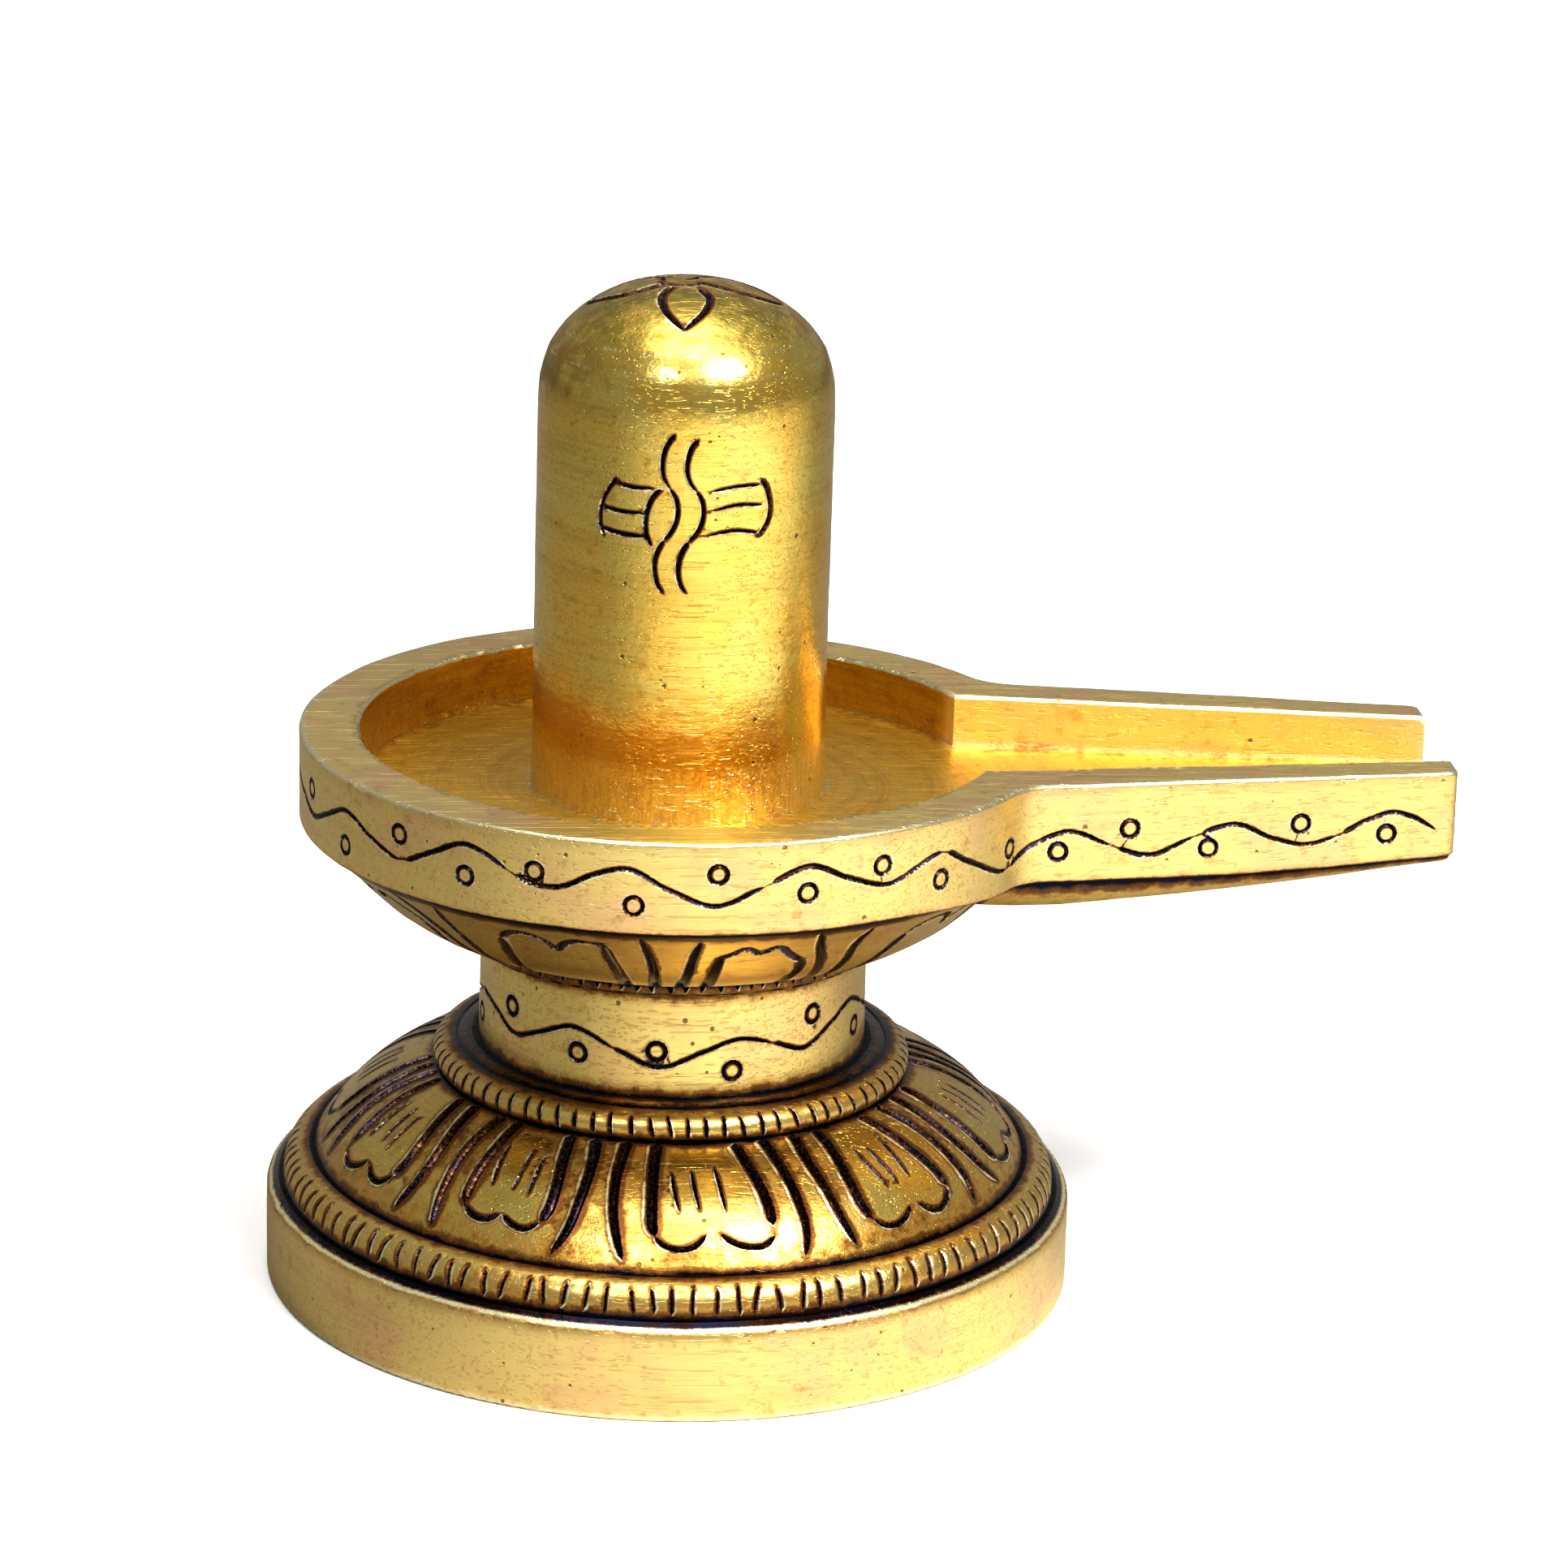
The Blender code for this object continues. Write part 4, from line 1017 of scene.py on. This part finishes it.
# ---- The lingam ----
# The upright shaft is turned and then filed at its foot, where the lathe tool couldn't
# reach. The three-barred mark is cut into its front and a bael leaf into its crown.
SHAFT_FOOT = 51.2
shaft = Turned(15.25, SHAFT_FOOT, 1.2)
shaft.turn(
    [(15.25, 53.2), (15.16, 54.6), (15.1, 56.4), (15.05, 60), (15.02, 68), (15.0, 80), (15.0, 91),
     (14.97, 93.5), (14.86, 95.69)], (1.2, 1.25))
MARK_FOOT = 70.0 - SHAFT_FOOT
MARK = [
    ([(-26.5, 18.8), (-31, 17), (-33, 15.7), (-33.5, 14.6), (-33, 13.4), (-31.2, 12.6)],
     0.5, (0.5, 0.7)),
    ([(-26, 18.2), (-19, 18.0), (-11.8, 18.1)], 0.48, (0.6, 2.5)),
    ([(-31.6, 15.6), (-23, 15.4), (-15.5, 15.5)], 0.45, (0.8, 3.0)),
    ([(-32.5, 13.4), (-23, 13.1), (-14.3, 13.1)], 0.5, (0.6, 1.8)),
    ([(-8.8, 18.1), (-11.8, 17.2), (-13.9, 15.9), (-14.6, 14.6), (-13.9, 13.2), (-11.9, 12.1)],
     (0.6, 0.42), (0.6, 0.9)),
    ([(-3.7, 23.7), (-6.3, 22.8), (-8, 21.7), (-8.5, 20.6), (-7.7, 19.2), (-5.4, 18.1)],
     (0.62, 0.32), (0.5, 1.6)),
    ([(-5.6, 18.2), (-3.1, 17.2), (-2.3, 16.1), (-2.8, 14.8), (-4.6, 13.7), (-7.5, 12.8)],
     (0.4, 0.5), (1.0, 1.2)),
    ([(-7.2, 12.9), (-9.6, 11.7), (-10.7, 10.4), (-10.2, 9), (-8.8, 8), (-6.9, 7.4)],
     (0.55, 0.4), (1.0, 0.8)),
    ([(5.1, 23.2), (2.6, 22.4), (1.2, 21.2), (0.9, 20.1), (2.2, 18.8), (4.7, 17.9)],
     (0.62, 0.32), (0.5, 1.6)),
    ([(4.5, 18.0), (6.8, 17), (7.5, 15.9), (6.8, 14.6), (4.7, 13.5), (1.8, 12.7)],
     (0.4, 0.5), (1.0, 1.2)),
    ([(2.1, 12.8), (-0.3, 11.7), (-1.6, 10.4), (-1.4, 9), (0, 8), (1.8, 7.5)],
     (0.6, 0.42), (0.9, 0.8)),
    ([(10.6, 17.9), (20, 18.3), (30, 18.3)], 0.3, (3.5, 1.0)),
    ([(10.6, 15.9), (20.3, 16.4), (31.3, 16.2)], 0.28, (3.0, 1.4)),
    ([(8.7, 13.4), (19.5, 13.8), (29.6, 13.4)], 0.3, (2.5, 1.0)),
    ([(30, 18.9), (32.6, 18.1), (34.3, 16.8), (34.8, 15.7), (34, 14.6), (31.8, 13.6), (29.8, 12.9)],
     (0.6, 0.5), (0.5, 0.5)),
]
MARK_DEPTH, LEAF_DEPTH, FINE_STEP = 0.3, 0.32, 0.4
for path, width, ends in MARK:
    path = [(x + FRONT, MARK_FOOT + y) for x, y in path]
    shaft.chase(path, width, MARK_DEPTH, ends, step=FINE_STEP)


FILED_RISE = 6.1


def shaft_marks(spots):
    """The foot of the shaft is filed and stained."""
    marks = Turned.marks(shaft, spots)
    rise = spots[:, 1] + SHAFT_FOOT - FLOOR - FLOOR_CROWN
    marks["filed"] = np.clip((FILED_RISE - rise) / 0.3, 0, 1)
    marks["wash"] = np.clip(0.42 - rise / 12.0, 0, 1)
    return marks


shaft.marks = shaft_marks


class Crown(Form):
    """The domed top. It is drawn round its pole, with true lengths from it."""

    shrunk = 20.0

    def __init__(self, pieces):
        super().__init__()
        line, self.creases = [np.array(pieces[0][:1], float)], []
        for piece in pieces:
            smooth = flowing(piece, 0.2)
            line.append(smooth[1:])
            self.creases.append(sum(len(part) for part in line) - 1)
        self.section = np.concatenate(line)
        self.at = lengths(self.section)
        self.creases = [float(self.at[i]) for i in self.creases]
        self.normals = -edge_normals(self.section)
        self.normals[0] = (0, 1)

    def stretched(self, spots):
        """Plan places as places in the drawing."""
        radius = np.maximum(np.hypot(*spots.T), 1e-6)
        length = np.interp(radius, self.section[:, 0], self.at)
        return spots * (length / radius)[:, None]

    def place(self, spots, deep):
        reach = np.hypot(*spots.T)
        radius, height, out, up = read(reach, self.at, self.section, self.normals)
        way = spots / np.maximum(reach, 1e-6)[:, None]
        return np.column_stack([way * (radius - out * deep)[:, None], height - up * deep])

    def marks(self, spots):
        reach = np.hypot(*spots.T)
        x, y = spots.T
        gaps = [np.abs(reach - crease) for crease in self.creases[:-1]]
        # Painted shade: the crown's top above its first crease and its left side are dimmed, and the
        # left side also takes brown wash.
        left = np.clip((-x - 8.0) / 4.0, 0, 1) * np.clip((11.0 - np.abs(y + 4.0)) / 5.0, 0, 1)
        painted_crown_shade = np.maximum(np.clip((self.creases[0] + 0.3 - reach) / 1.5, 0, 1), left)
        patch = np.hypot((x + 6.1) / 1.6, (y + 6.8) / 1.3)
        wash = np.maximum(0.5 * left, np.clip(1.5 - patch, 0, 0.85))
        return {"edge": np.min(gaps, axis=0) + 0.3, "run": reach + 3.0, "painted_crown_shade": painted_crown_shade, "wash": wash}


crown = Crown([
    [(0.0, 105.85), (2.45, 105.74), (4.63, 105.4), (6.64, 104.84), (8.48, 104.05),
     (10.13, 103.08), (11.5, 102.0), (12.55, 100.95)],
    [(12.55, 100.95), (13.3, 99.98), (13.94, 98.95)],
    [(13.94, 98.95), (14.32, 97.9), (14.66, 96.75), (14.86, 95.69)],
])
LEAF = [
    ([(-1.7, -2.6), (-2.7, -5.3), (-2.3, -7.5), (-0.5, -10.2)], (1.1, 0.6), (0.6, 1.6)),
    ([(1.1, -3.2), (2.1, -5.3), (1.7, -7.4), (-0.3, -10.2)], (1.05, 0.55), (0.6, 1.6)),
    ([(-2.5, -1.6), (-5, -2.7), (-7, -2.5), (-9, -1.0), (-10.3, 0.5)], (1.2, 0.8), (0.6, 1.8)),
    ([(-2.2, 1.4), (-4.6, 2.7), (-7, 2.5), (-9, 1.6), (-10.2, 0.7)], (1.1, 0.8), (0.6, 1.8)),
    ([(1.0, -1.0), (3, -1.9), (5, -2.3), (7.5, -1.8), (9.5, -0.2)], (1.2, 0.8), (0.6, 1.8)),
    ([(1.0, 1.5), (3, 2.6), (5, 2.5), (7.4, 1.6), (9.4, 0.1)], (1.1, 0.8), (0.6, 1.8)),
    ([(-2.7, -1.4), (-1.2, -2.1), (0.2, -2.2), (1.2, -1.4)], 0.8, (0.6, 0.6)),
    ([(-2.5, -0.3), (-2.6, 0.9), (-1.4, 1.6)], 0.6, (0.6, 0.6)),
    ([(-0.4, -0.2), (0.6, 0.5), (0.9, 1.6)], 0.5, (0.6, 0.6)),
    ([(-0.6, 2.3), (-0.4, 3.6), (-0.7, 5.6)], 0.5, (0.6, 1.8)),
]
cos_front, sin_front = math.cos(math.radians(FRONT)), math.sin(math.radians(FRONT))
for path, width, ends in LEAF:
    turned = [(x * cos_front - y * sin_front, x * sin_front + y * cos_front) for x, y in path]
    crown.chase(crown.stretched(np.array(turned)), width, LEAF_DEPTH, ends, step=FINE_STEP)

CROWN_CELL = 1.15
spots = [(0.0, 0.0)]
reach = 1.1
while reach < crown.at[-1] - 0.5:
    radius = np.interp(reach, crown.at, crown.section[:, 0])
    count = int(round(2 * math.pi * radius / CROWN_CELL))
    if min(abs(reach - crease) for crease in crown.creases) > 0.35:
        angles = np.arange(count) * 2 * math.pi / count
        spots += [(reach * math.sin(a), -reach * math.cos(a)) for a in angles]
    reach += 1.0
shoulder = np.radians(shaft.ring(shaft.creases[-1])[:, 0])
crown_rings = [around(crease, shoulder) for crease in crown.creases[::-1]]
lingam_shells = [shaft.covered(), crown.skin(crown_rings, spots, False)]
for (_, _, marks), narrowed in zip(lingam_shells, (2.0, 1.3)):
    marks["lip"] = marks["lip"] * narrowed
lingam = cast("lingam", lingam_shells)
fuse(casting, lingam, "UNION")


# ---- Hand work ----
# Filing and polishing by hand left the whole casting a little uneven, while the underside of
# the foot stays flat. Each corner gets the marks that were noted where it was made. A corner
# that only came up where two forms meet lies in a dark groove, or on a worn edge at the rim.
def uneven(spots):
    """How far each spot is pushed out, in mm: long waves and small dents."""
    out = []
    for x, y, z in spots:
        long_wave = noise.noise(Vector((x * 0.09, y * 0.09, z * 0.09)))
        short_wave = noise.noise(Vector((x * 0.34 + 7, y * 0.34, z * 0.34)))
        dent = noise.noise(Vector((x * 0.8, y * 0.8 + 3, z * 0.8)))
        out.append(0.09 * long_wave + 0.035 * short_wave + 0.012 * dent)
    return np.array(out)


mesh = casting.data
noted = np.concatenate([spots for spots, _ in notes])
tree = KDTree(len(noted))
for number, spot in enumerate(noted):
    tree.insert(spot, number)
tree.balance()
found = [tree.find(corner.co / MM) for corner in mesh.vertices]
NEW_CORNER, BOWL_INSIDE, NEAR_RIM = 0.005, 51.5, 56.0
nearest = np.array([number for _, number, _ in found])
seam = np.array([gap for _, _, gap in found]) > NEW_CORNER
inside = noted[nearest, 2] > BOWL_INSIDE
for name in MARKS:
    idle = FAR if name in GAPS else 0.0
    values = [
        np.broadcast_to(np.asarray(marks.get(name, idle), float), len(spots))
        for spots, marks in notes]
    values = np.concatenate(values)[nearest]
    if name == "groove":
        values[seam & ~inside] = 0.0
    if name == "edge":
        values[seam & (noted[nearest, 2] > NEAR_RIM)] = 0.0
    layer = mesh.attributes.new(name, "FLOAT", "POINT")
    layer.data.foreach_set("value", values.astype(np.float32))
places, normals = np.zeros((2, len(mesh.vertices) * 3))
mesh.vertices.foreach_get("co", places)
mesh.vertices.foreach_get("normal", normals)
places, normals = places.reshape(-1, 3) / MM, normals.reshape(-1, 3)
FLAT_FOOT = 1.5
hold = np.clip(places[:, 2] / FLAT_FOOT, 0, 1)
places += normals * (uneven(places) * hold)[:, None]
for axis in (0, 1):
    places[:, axis] = np.clip(places[:, axis], cad_box[0][axis] / MM, cad_box[1][axis] / MM)
places[:, 2] = np.maximum(places[:, 2], 0.0)
mesh.vertices.foreach_set("co", (places * MM).ravel())
mesh.update()

bpy.ops.object.select_all(action="DESELECT")
edit(casting, (bpy.ops.mesh.quads_convert_to_tris, {}))
bpy.ops.object.shade_smooth_by_angle(angle=math.radians(38))
casting.select_set(False)


# ---- The brass ----
# Yellow brass, worn satin on the flat faces. The chased lines and turned grooves are filled
# with a glossy blue-black, and a thin brown wash has run out of them and dried.
def node(tree, kind, inputs=(), **settings):
    """Adds a node to a tree, sets it up, and fills or joins its inputs."""
    item = tree.nodes.new(kind)
    for name, value in settings.items():
        setattr(item, name, value)
    for name, value in dict(inputs).items():
        if isinstance(value, bpy.types.NodeSocket):
            tree.links.new(value, item.inputs[name])
        else:
            item.inputs[name].default_value = value
    return item


def sums(tree, operation, *values):
    """One step of arithmetic."""
    step = node(tree, "ShaderNodeMath", dict(enumerate(values)), operation=operation)
    return step.outputs[0]


def times(tree, first, second):
    """Two values multiplied."""
    return sums(tree, "MULTIPLY", first, second)


def lifted(tree, base, *parts):
    """A base value with each part added, times its amount."""
    for part, amount in parts:
        base = sums(tree, "MULTIPLY_ADD", part, amount, base)
    return base


def ramp(tree, value, low, high):
    """0 to 1 with soft ends, as a value goes from low to high; low may be the larger."""
    inputs = {"Value": value, "From Min": low, "From Max": high}
    if low > high:
        inputs = {"Value": value, "From Min": high, "From Max": low, "To Min": 1.0, "To Max": 0.0}
    item = node(tree, "ShaderNodeMapRange", inputs, interpolation_type="SMOOTHSTEP")
    return item.outputs["Result"]


def tint(tree, factor, first, second):
    """A mix of two colours."""
    mixed = node(tree, "ShaderNodeMix", {0: factor, 6: first, 7: second}, data_type="RGBA")
    return mixed.outputs[2]


def grain(tree, place, scale, detail=2.0, stretch=None, roughness=0.5):
    """Soft noise on a place in mm, 0 to 1; stretch is the scale along each axis."""
    if stretch:
        inputs = {0: place, 1: stretch}
        place = node(tree, "ShaderNodeVectorMath", inputs, operation="MULTIPLY").outputs[0]
    inputs = {"Vector": place, "Scale": scale, "Detail": detail, "Roughness": roughness}
    return node(tree, "ShaderNodeTexNoise", inputs).outputs["Fac"]


def group(name, inputs, outputs):
    """A new node group with its sockets. Gives the tree and its two end nodes."""
    tree = bpy.data.node_groups.new(name, "ShaderNodeTree")
    for way, sockets in (("INPUT", inputs), ("OUTPUT", outputs)):
        for label, kind in sockets.items():
            tree.interface.new_socket(label, in_out=way, socket_type=kind)
    return tree, node(tree, "NodeGroupInput"), node(tree, "NodeGroupOutput")


def finish_group(tree, end, **results):
    """Joins results to the sockets of a group's end."""
    for label, value in results.items():
        tree.links.new(value, end.inputs[label])


FLOAT, VECTOR = "NodeSocketFloat", "NodeSocketVector"

# Fine lines left by the lathe and the file, always across the section.
turning, start, end = group(
    "turning marks", {"Place": VECTOR, "Run": FLOAT}, {"Height": FLOAT, "Streak": FLOAT})
split = node(turning, "ShaderNodeSeparateXYZ", {0: start.outputs["Place"]})


def lines(length, pitch):
    """Noise drawn out round the form: streaks of about a length and pitch in mm."""
    across = times(turning, start.outputs["Run"], length / pitch)
    inputs = {"X": split.outputs["X"], "Y": split.outputs["Y"], "Z": across}
    drawn = node(turning, "ShaderNodeCombineXYZ", inputs).outputs[0]
    return grain(turning, drawn, 1.0 / length, roughness=0.6)


fine, broad = lines(7.0, 0.3), lines(26.0, 1.7)
finish_group(
    turning, end, Height=lifted(turning, times(turning, broad, 0.8), (fine, 0.7)),
    Streak=lifted(turning, times(turning, broad, 0.5), (fine, 0.5)))

# How the dark filling and the brown wash lie near cuts and grooves.
patina, start, end = group(
    "patina", {"Place": VECTOR, "Lip": FLOAT, "Groove": FLOAT, "Wash": FLOAT, "Plain": FLOAT},
    {"Dark": FLOAT, "Stain": FLOAT, "Deep": FLOAT})
place = start.outputs["Place"]
middling = sums(patina, "SUBTRACT", grain(patina, place, 0.55, 3.0, roughness=0.55), 0.5)
small = sums(patina, "SUBTRACT", grain(patina, place, 3.2), 0.5)
lip_gap = lifted(patina, start.outputs["Lip"], (small, 0.3))
groove_gap = lifted(patina, start.outputs["Groove"], (middling, 0.9), (small, 0.3))
dark = sums(patina, "MAXIMUM", ramp(patina, lip_gap, 0.13, 0.0), ramp(patina, groove_gap, 0.8, 0.35))
spread = sums(patina, "MAXIMUM", lifted(patina, 1.1, (start.outputs["Plain"], -0.75)), 0.28)
ragged = lifted(patina, times(patina, small, 0.5), (middling, 1.5))
near_lip = sums(patina, "DIVIDE", lifted(patina, start.outputs["Lip"], (ragged, 0.6)), spread)
near_groove = sums(patina, "DIVIDE", lifted(patina, start.outputs["Groove"], (ragged, 1.1)), 1.6)
beside = sums(patina, "MAXIMUM", ramp(patina, near_lip, 1.3, 0.2), ramp(patina, near_groove, 1.4, 0.3))
dabs = lifted(patina, ragged, (start.outputs["Wash"], 0.95))
dried = times(patina, ramp(patina, dabs, 0.25, 1.05), 0.85)
deep = sums(patina, "MAXIMUM", ramp(patina, beside, 0.45, 0.95), ramp(patina, dabs, 0.82, 1.3))
finish_group(patina, end, Dark=dark, Stain=sums(patina, "MAXIMUM", beside, dried), Deep=deep)

# Scratches, pits and cloudy patches from handling.
handling, start, end = group(
    "handling", {"Place": VECTOR}, {"Scratch": FLOAT, "Pit": FLOAT, "Cloud": FLOAT, "Fleck": FLOAT})
place = start.outputs["Place"]
SCRATCHES = (
    ((0.3, 0.5, 0.9), (0.05, 3.0, 3.0)), ((1.2, 0.2, -0.6), (0.07, 2.6, 2.6)),
    ((0.1, 1.1, 0.4), (0.06, 3.4, 3.4)))
scratch = 0.0
for turned, stretch in SCRATCHES:
    inputs = {"Vector": place, "Rotation": turned, "Scale": stretch}
    swung = node(handling, "ShaderNodeMapping", inputs).outputs[0]
    line = ramp(handling, grain(handling, swung, 1.0, 1.0), 0.65, 0.69)
    scratch = sums(handling, "MAXIMUM", scratch, line)
pits = node(
    handling, "ShaderNodeTexVoronoi", {"Vector": place, "Scale": 0.75, "Randomness": 1.0}).outputs
size = times(handling, ramp(handling, pits["Color"], 0.62, 1.0), 0.2)
pit = ramp(handling, sums(handling, "SUBTRACT", pits["Distance"], size), 0.03, -0.03)
finish_group(
    handling, end, Scratch=scratch, Pit=pit, Cloud=grain(handling, place, 0.11, 3.0, roughness=0.55),
    Fleck=grain(handling, place, 0.55, 4.0, roughness=0.65))

brass = bpy.data.materials.new("brass")
brass.use_nodes = True
tree = brass.node_tree
shader = tree.nodes["Principled BSDF"]
spot = node(tree, "ShaderNodeTexCoord").outputs["Object"]
in_mm = {0: spot, 1: (1 / MM,) * 3}
spot = node(tree, "ShaderNodeVectorMath", in_mm, operation="MULTIPLY").outputs[0]
mark = {}
for name in MARKS:
    mark[name] = node(tree, "ShaderNodeAttribute", attribute_name=name).outputs["Fac"]


def placed(made, **inputs):
    """Places a group in the brass."""
    item = node(tree, "ShaderNodeGroup", node_tree=made)
    for label, value in inputs.items():
        tree.links.new(value, item.inputs[label])
    return item.outputs


lathe = placed(turning, Place=spot, Run=mark["run"])
dirt = placed(
    patina, Place=spot, Lip=mark["lip"], Groove=mark["groove"], Wash=mark["wash"],
    Plain=mark["pale"])
hands = placed(handling, Place=spot)
# Worn edges are tinted bright; beside each cut the same bright tint is a painted highlight along its
# burr.
worn = sums(tree, "ADD", mark["edge"], lifted(tree, -0.45, (hands["Fleck"], 0.9)))
worn = ramp(tree, worn, 0.42, 0.1)
upright = grain(tree, spot, 1.0, stretch=(2.6, 2.6, 0.35), roughness=0.7)
filed = times(tree, mark["filed"], ramp(tree, upright, 0.42, 0.62))

GOLD, LEMON, ROSE = (0.88, 0.58, 0.10, 1.0), (0.80, 0.62, 0.14, 1.0), (0.86, 0.56, 0.27, 1.0)
SHADE_OLIVE = (0.30, 0.25, 0.045, 1.0)
SATIN, HOLLOW_SHADE_OCHRE, BRIGHT = (0.90, 0.67, 0.24, 1.0), (0.74, 0.43, 0.03, 1.0), (0.98, 0.84, 0.45, 1.0)
WASH, UMBER = (0.36, 0.125, 0.008, 1.0), (0.075, 0.018, 0.002, 1.0)
BLACK, BLUE = (0.010, 0.0035, 0.002, 1.0), (0.005, 0.005, 0.013, 1.0)
satin = tint(tree, ramp(tree, hands["Cloud"], 0.55, 0.36), SATIN, ROSE)
filling = tint(tree, ramp(tree, hands["Cloud"], 0.42, 0.58), BLACK, BLUE)
# Painted shade: the crown's top and left side are dimmed to olive, broken by flecks, and take heavier
# flecks of wash.
painted_crown_shade = times(tree, mark["painted_crown_shade"], ramp(tree, hands["Fleck"], 0.25, 0.6))
streaked = lifted(tree, 0.27, (mark["ochre"], 0.25), (mark["pale"], -0.14))
tarnish_and_shade = lifted(tree, 0.34, (mark["painted_crown_shade"], 0.3))

# What lies on the bare metal, from the first coat to the last.
colour = tint(tree, ramp(tree, hands["Cloud"], 0.4, 0.62), GOLD, LEMON)
for share, amount, coat in (
    (mark["pale"], 0.8, satin),
    # Painted shade and bounced light in the bowl's hollow.
    (mark["ochre"], 1.0, HOLLOW_SHADE_OCHRE),
    # Painted shade on the crown's top and left side.
    (painted_crown_shade, 0.85, SHADE_OLIVE),
    (ramp(tree, lathe["Streak"], 0.42, 0.66), streaked, WASH),
    (ramp(tree, hands["Fleck"], 0.57, 0.70), tarnish_and_shade, WASH),
    (mark["filed"], 0.75, BRIGHT),
    (filed, 0.25, WASH),
    (dirt["Stain"], 0.92, WASH),
    (dirt["Deep"], 0.85, UMBER),
    # Worn edges, and the painted highlight along the burr beside each cut.
    (worn, 1.0, BRIGHT),
    (hands["Pit"], 0.8, UMBER),
    (hands["Scratch"], 0.3, WASH),
    (dirt["Dark"], 1.0, filling),
):
    colour = tint(tree, times(tree, share, amount), colour, coat)
tree.links.new(colour, shader.inputs["Base Color"])

metal = sums(tree, "MAXIMUM", lifted(tree, 1.0, (dirt["Stain"], -0.15)), dirt["Dark"])
tree.links.new(metal, shader.inputs["Metallic"])

rough = lifted(
    tree, 0.15, (mark["pale"], 0.14), (mark["painted_crown_shade"], 0.12), (lathe["Streak"], 0.12),
    (mark["grit"], 0.20), (dirt["Stain"], 0.12), (worn, -0.08), (dirt["Dark"], -0.10))
tree.links.new(rough, shader.inputs["Roughness"])

turned = lifted(tree, 0.012, (mark["filed"], -0.010))
chased = lifted(tree, 0.07, (mark["pale"], -0.05))
beaten = lifted(tree, 0.02, (mark["pale"], -0.016))
crumb = times(tree, grain(tree, spot, 3.0), 0.05)
gritty = sums(tree, "MAXIMUM", mark["grit"], times(tree, dirt["Stain"], 0.35))
relief = lifted(
    tree, times(tree, lathe["Height"], turned), (hands["Fleck"], chased),
    (grain(tree, spot, 1.3), beaten), (gritty, crumb), (filed, 0.02),
    (hands["Scratch"], -0.015), (hands["Pit"], -0.06))
bump = node(tree, "ShaderNodeBump", {"Height": relief, "Distance": 0.001, "Strength": 1.0})
tree.links.new(bump.outputs["Normal"], shader.inputs["Normal"])
casting.data.materials.clear()
casting.data.materials.append(brass)

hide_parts("shiva_lingam")
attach(casting, "root")


# ---- The studio ----
# A pale floor that the camera sees plain; what the brass reflects of it is painted light,
# bright towards the front and dark elsewhere. Soft light from large panels and the camera.
bpy.ops.mesh.primitive_plane_add(size=6.0, location=(0, 0, 0))
floor_sheet = bpy.context.object
floor_sheet.name = "floor"
pale = bpy.data.materials.new("pale_floor_painted_reflections")
pale.use_nodes = True
sheet = pale.node_tree
paper = sheet.nodes["Principled BSDF"]
paper.inputs["Roughness"].default_value = 0.9
paper.inputs["Specular IOR Level"].default_value = 0.0
where = node(sheet, "ShaderNodeSeparateXYZ", {0: node(sheet, "ShaderNodeTexCoord").outputs["Object"]})
# Painted light for the brass to reflect: rays other than the camera's see the floor bright towards the
# front and front right, and dark elsewhere.
bearing = sums(sheet, "ARCTAN2", where.outputs["X"], times(sheet, where.outputs["Y"], -1.0))
lit = times(sheet, ramp(sheet, bearing, -1.15, 0.35), ramp(sheet, bearing, 2.1, 0.9))
seen = node(sheet, "ShaderNodeLightPath").outputs["Is Camera Ray"]
reflected_painted_light = tint(sheet, lit, (0.16, 0.15, 0.13, 1.0), (0.61, 0.60, 0.57, 1.0))
sheet.links.new(tint(sheet, seen, reflected_painted_light, (0.95, 0.95, 0.95, 1.0)), paper.inputs["Base Color"])
floor_sheet.data.materials.append(pale)
floor_sheet.select_set(False)

world = bpy.data.worlds.new("studio")
bpy.context.scene.world = world
world.use_nodes = True
sky = world.node_tree.nodes["Background"]
sky.inputs["Color"].default_value = (1.0, 1.0, 1.0, 1.0)
sky.inputs["Strength"].default_value = 0.3


def panel(name, azimuth, elevation, distance, size, power):
    """A soft light panel that faces the lingam; azimuth 0 is in front and grows to the right."""
    light = bpy.data.lights.new(name, "AREA")
    light.shape = "RECTANGLE"
    light.size, light.size_y = size
    light.energy = power
    item = bpy.data.objects.new(name, light)
    bpy.context.scene.collection.objects.link(item)
    turn, lift = math.radians(azimuth), math.radians(elevation)
    flat = math.cos(lift)
    place = Vector((math.sin(turn) * flat, -math.cos(turn) * flat, math.sin(lift))) * distance
    item.location = place + Vector((0, 0, 0.06))
    item.rotation_euler = (-place).to_track_quat("-Z", "Y").to_euler()


panel("key", 38, 50, 1.2, (0.44, 0.28), 26.0)
panel("small", -21, 47, 1.2, (0.24, 0.1), 5.0)
panel("overhead", 0, 88, 1.3, (0.8, 0.8), 15.0)

bpy.context.scene.view_settings.view_transform = "Standard"

camera = bpy.data.objects.new("camera", bpy.data.cameras.new("camera"))
bpy.context.scene.collection.objects.link(camera)
camera.location = (-0.0437638, -0.5820402, 0.2405516)
camera.rotation_euler = (math.radians(72.18997), math.radians(-1.598588), math.radians(-4.861844))
camera.data.sensor_width = 36.0
camera.data.lens = 136.946
camera.data.clip_start = 0.01
camera.data.clip_end = 50.0
bpy.context.scene.camera = camera
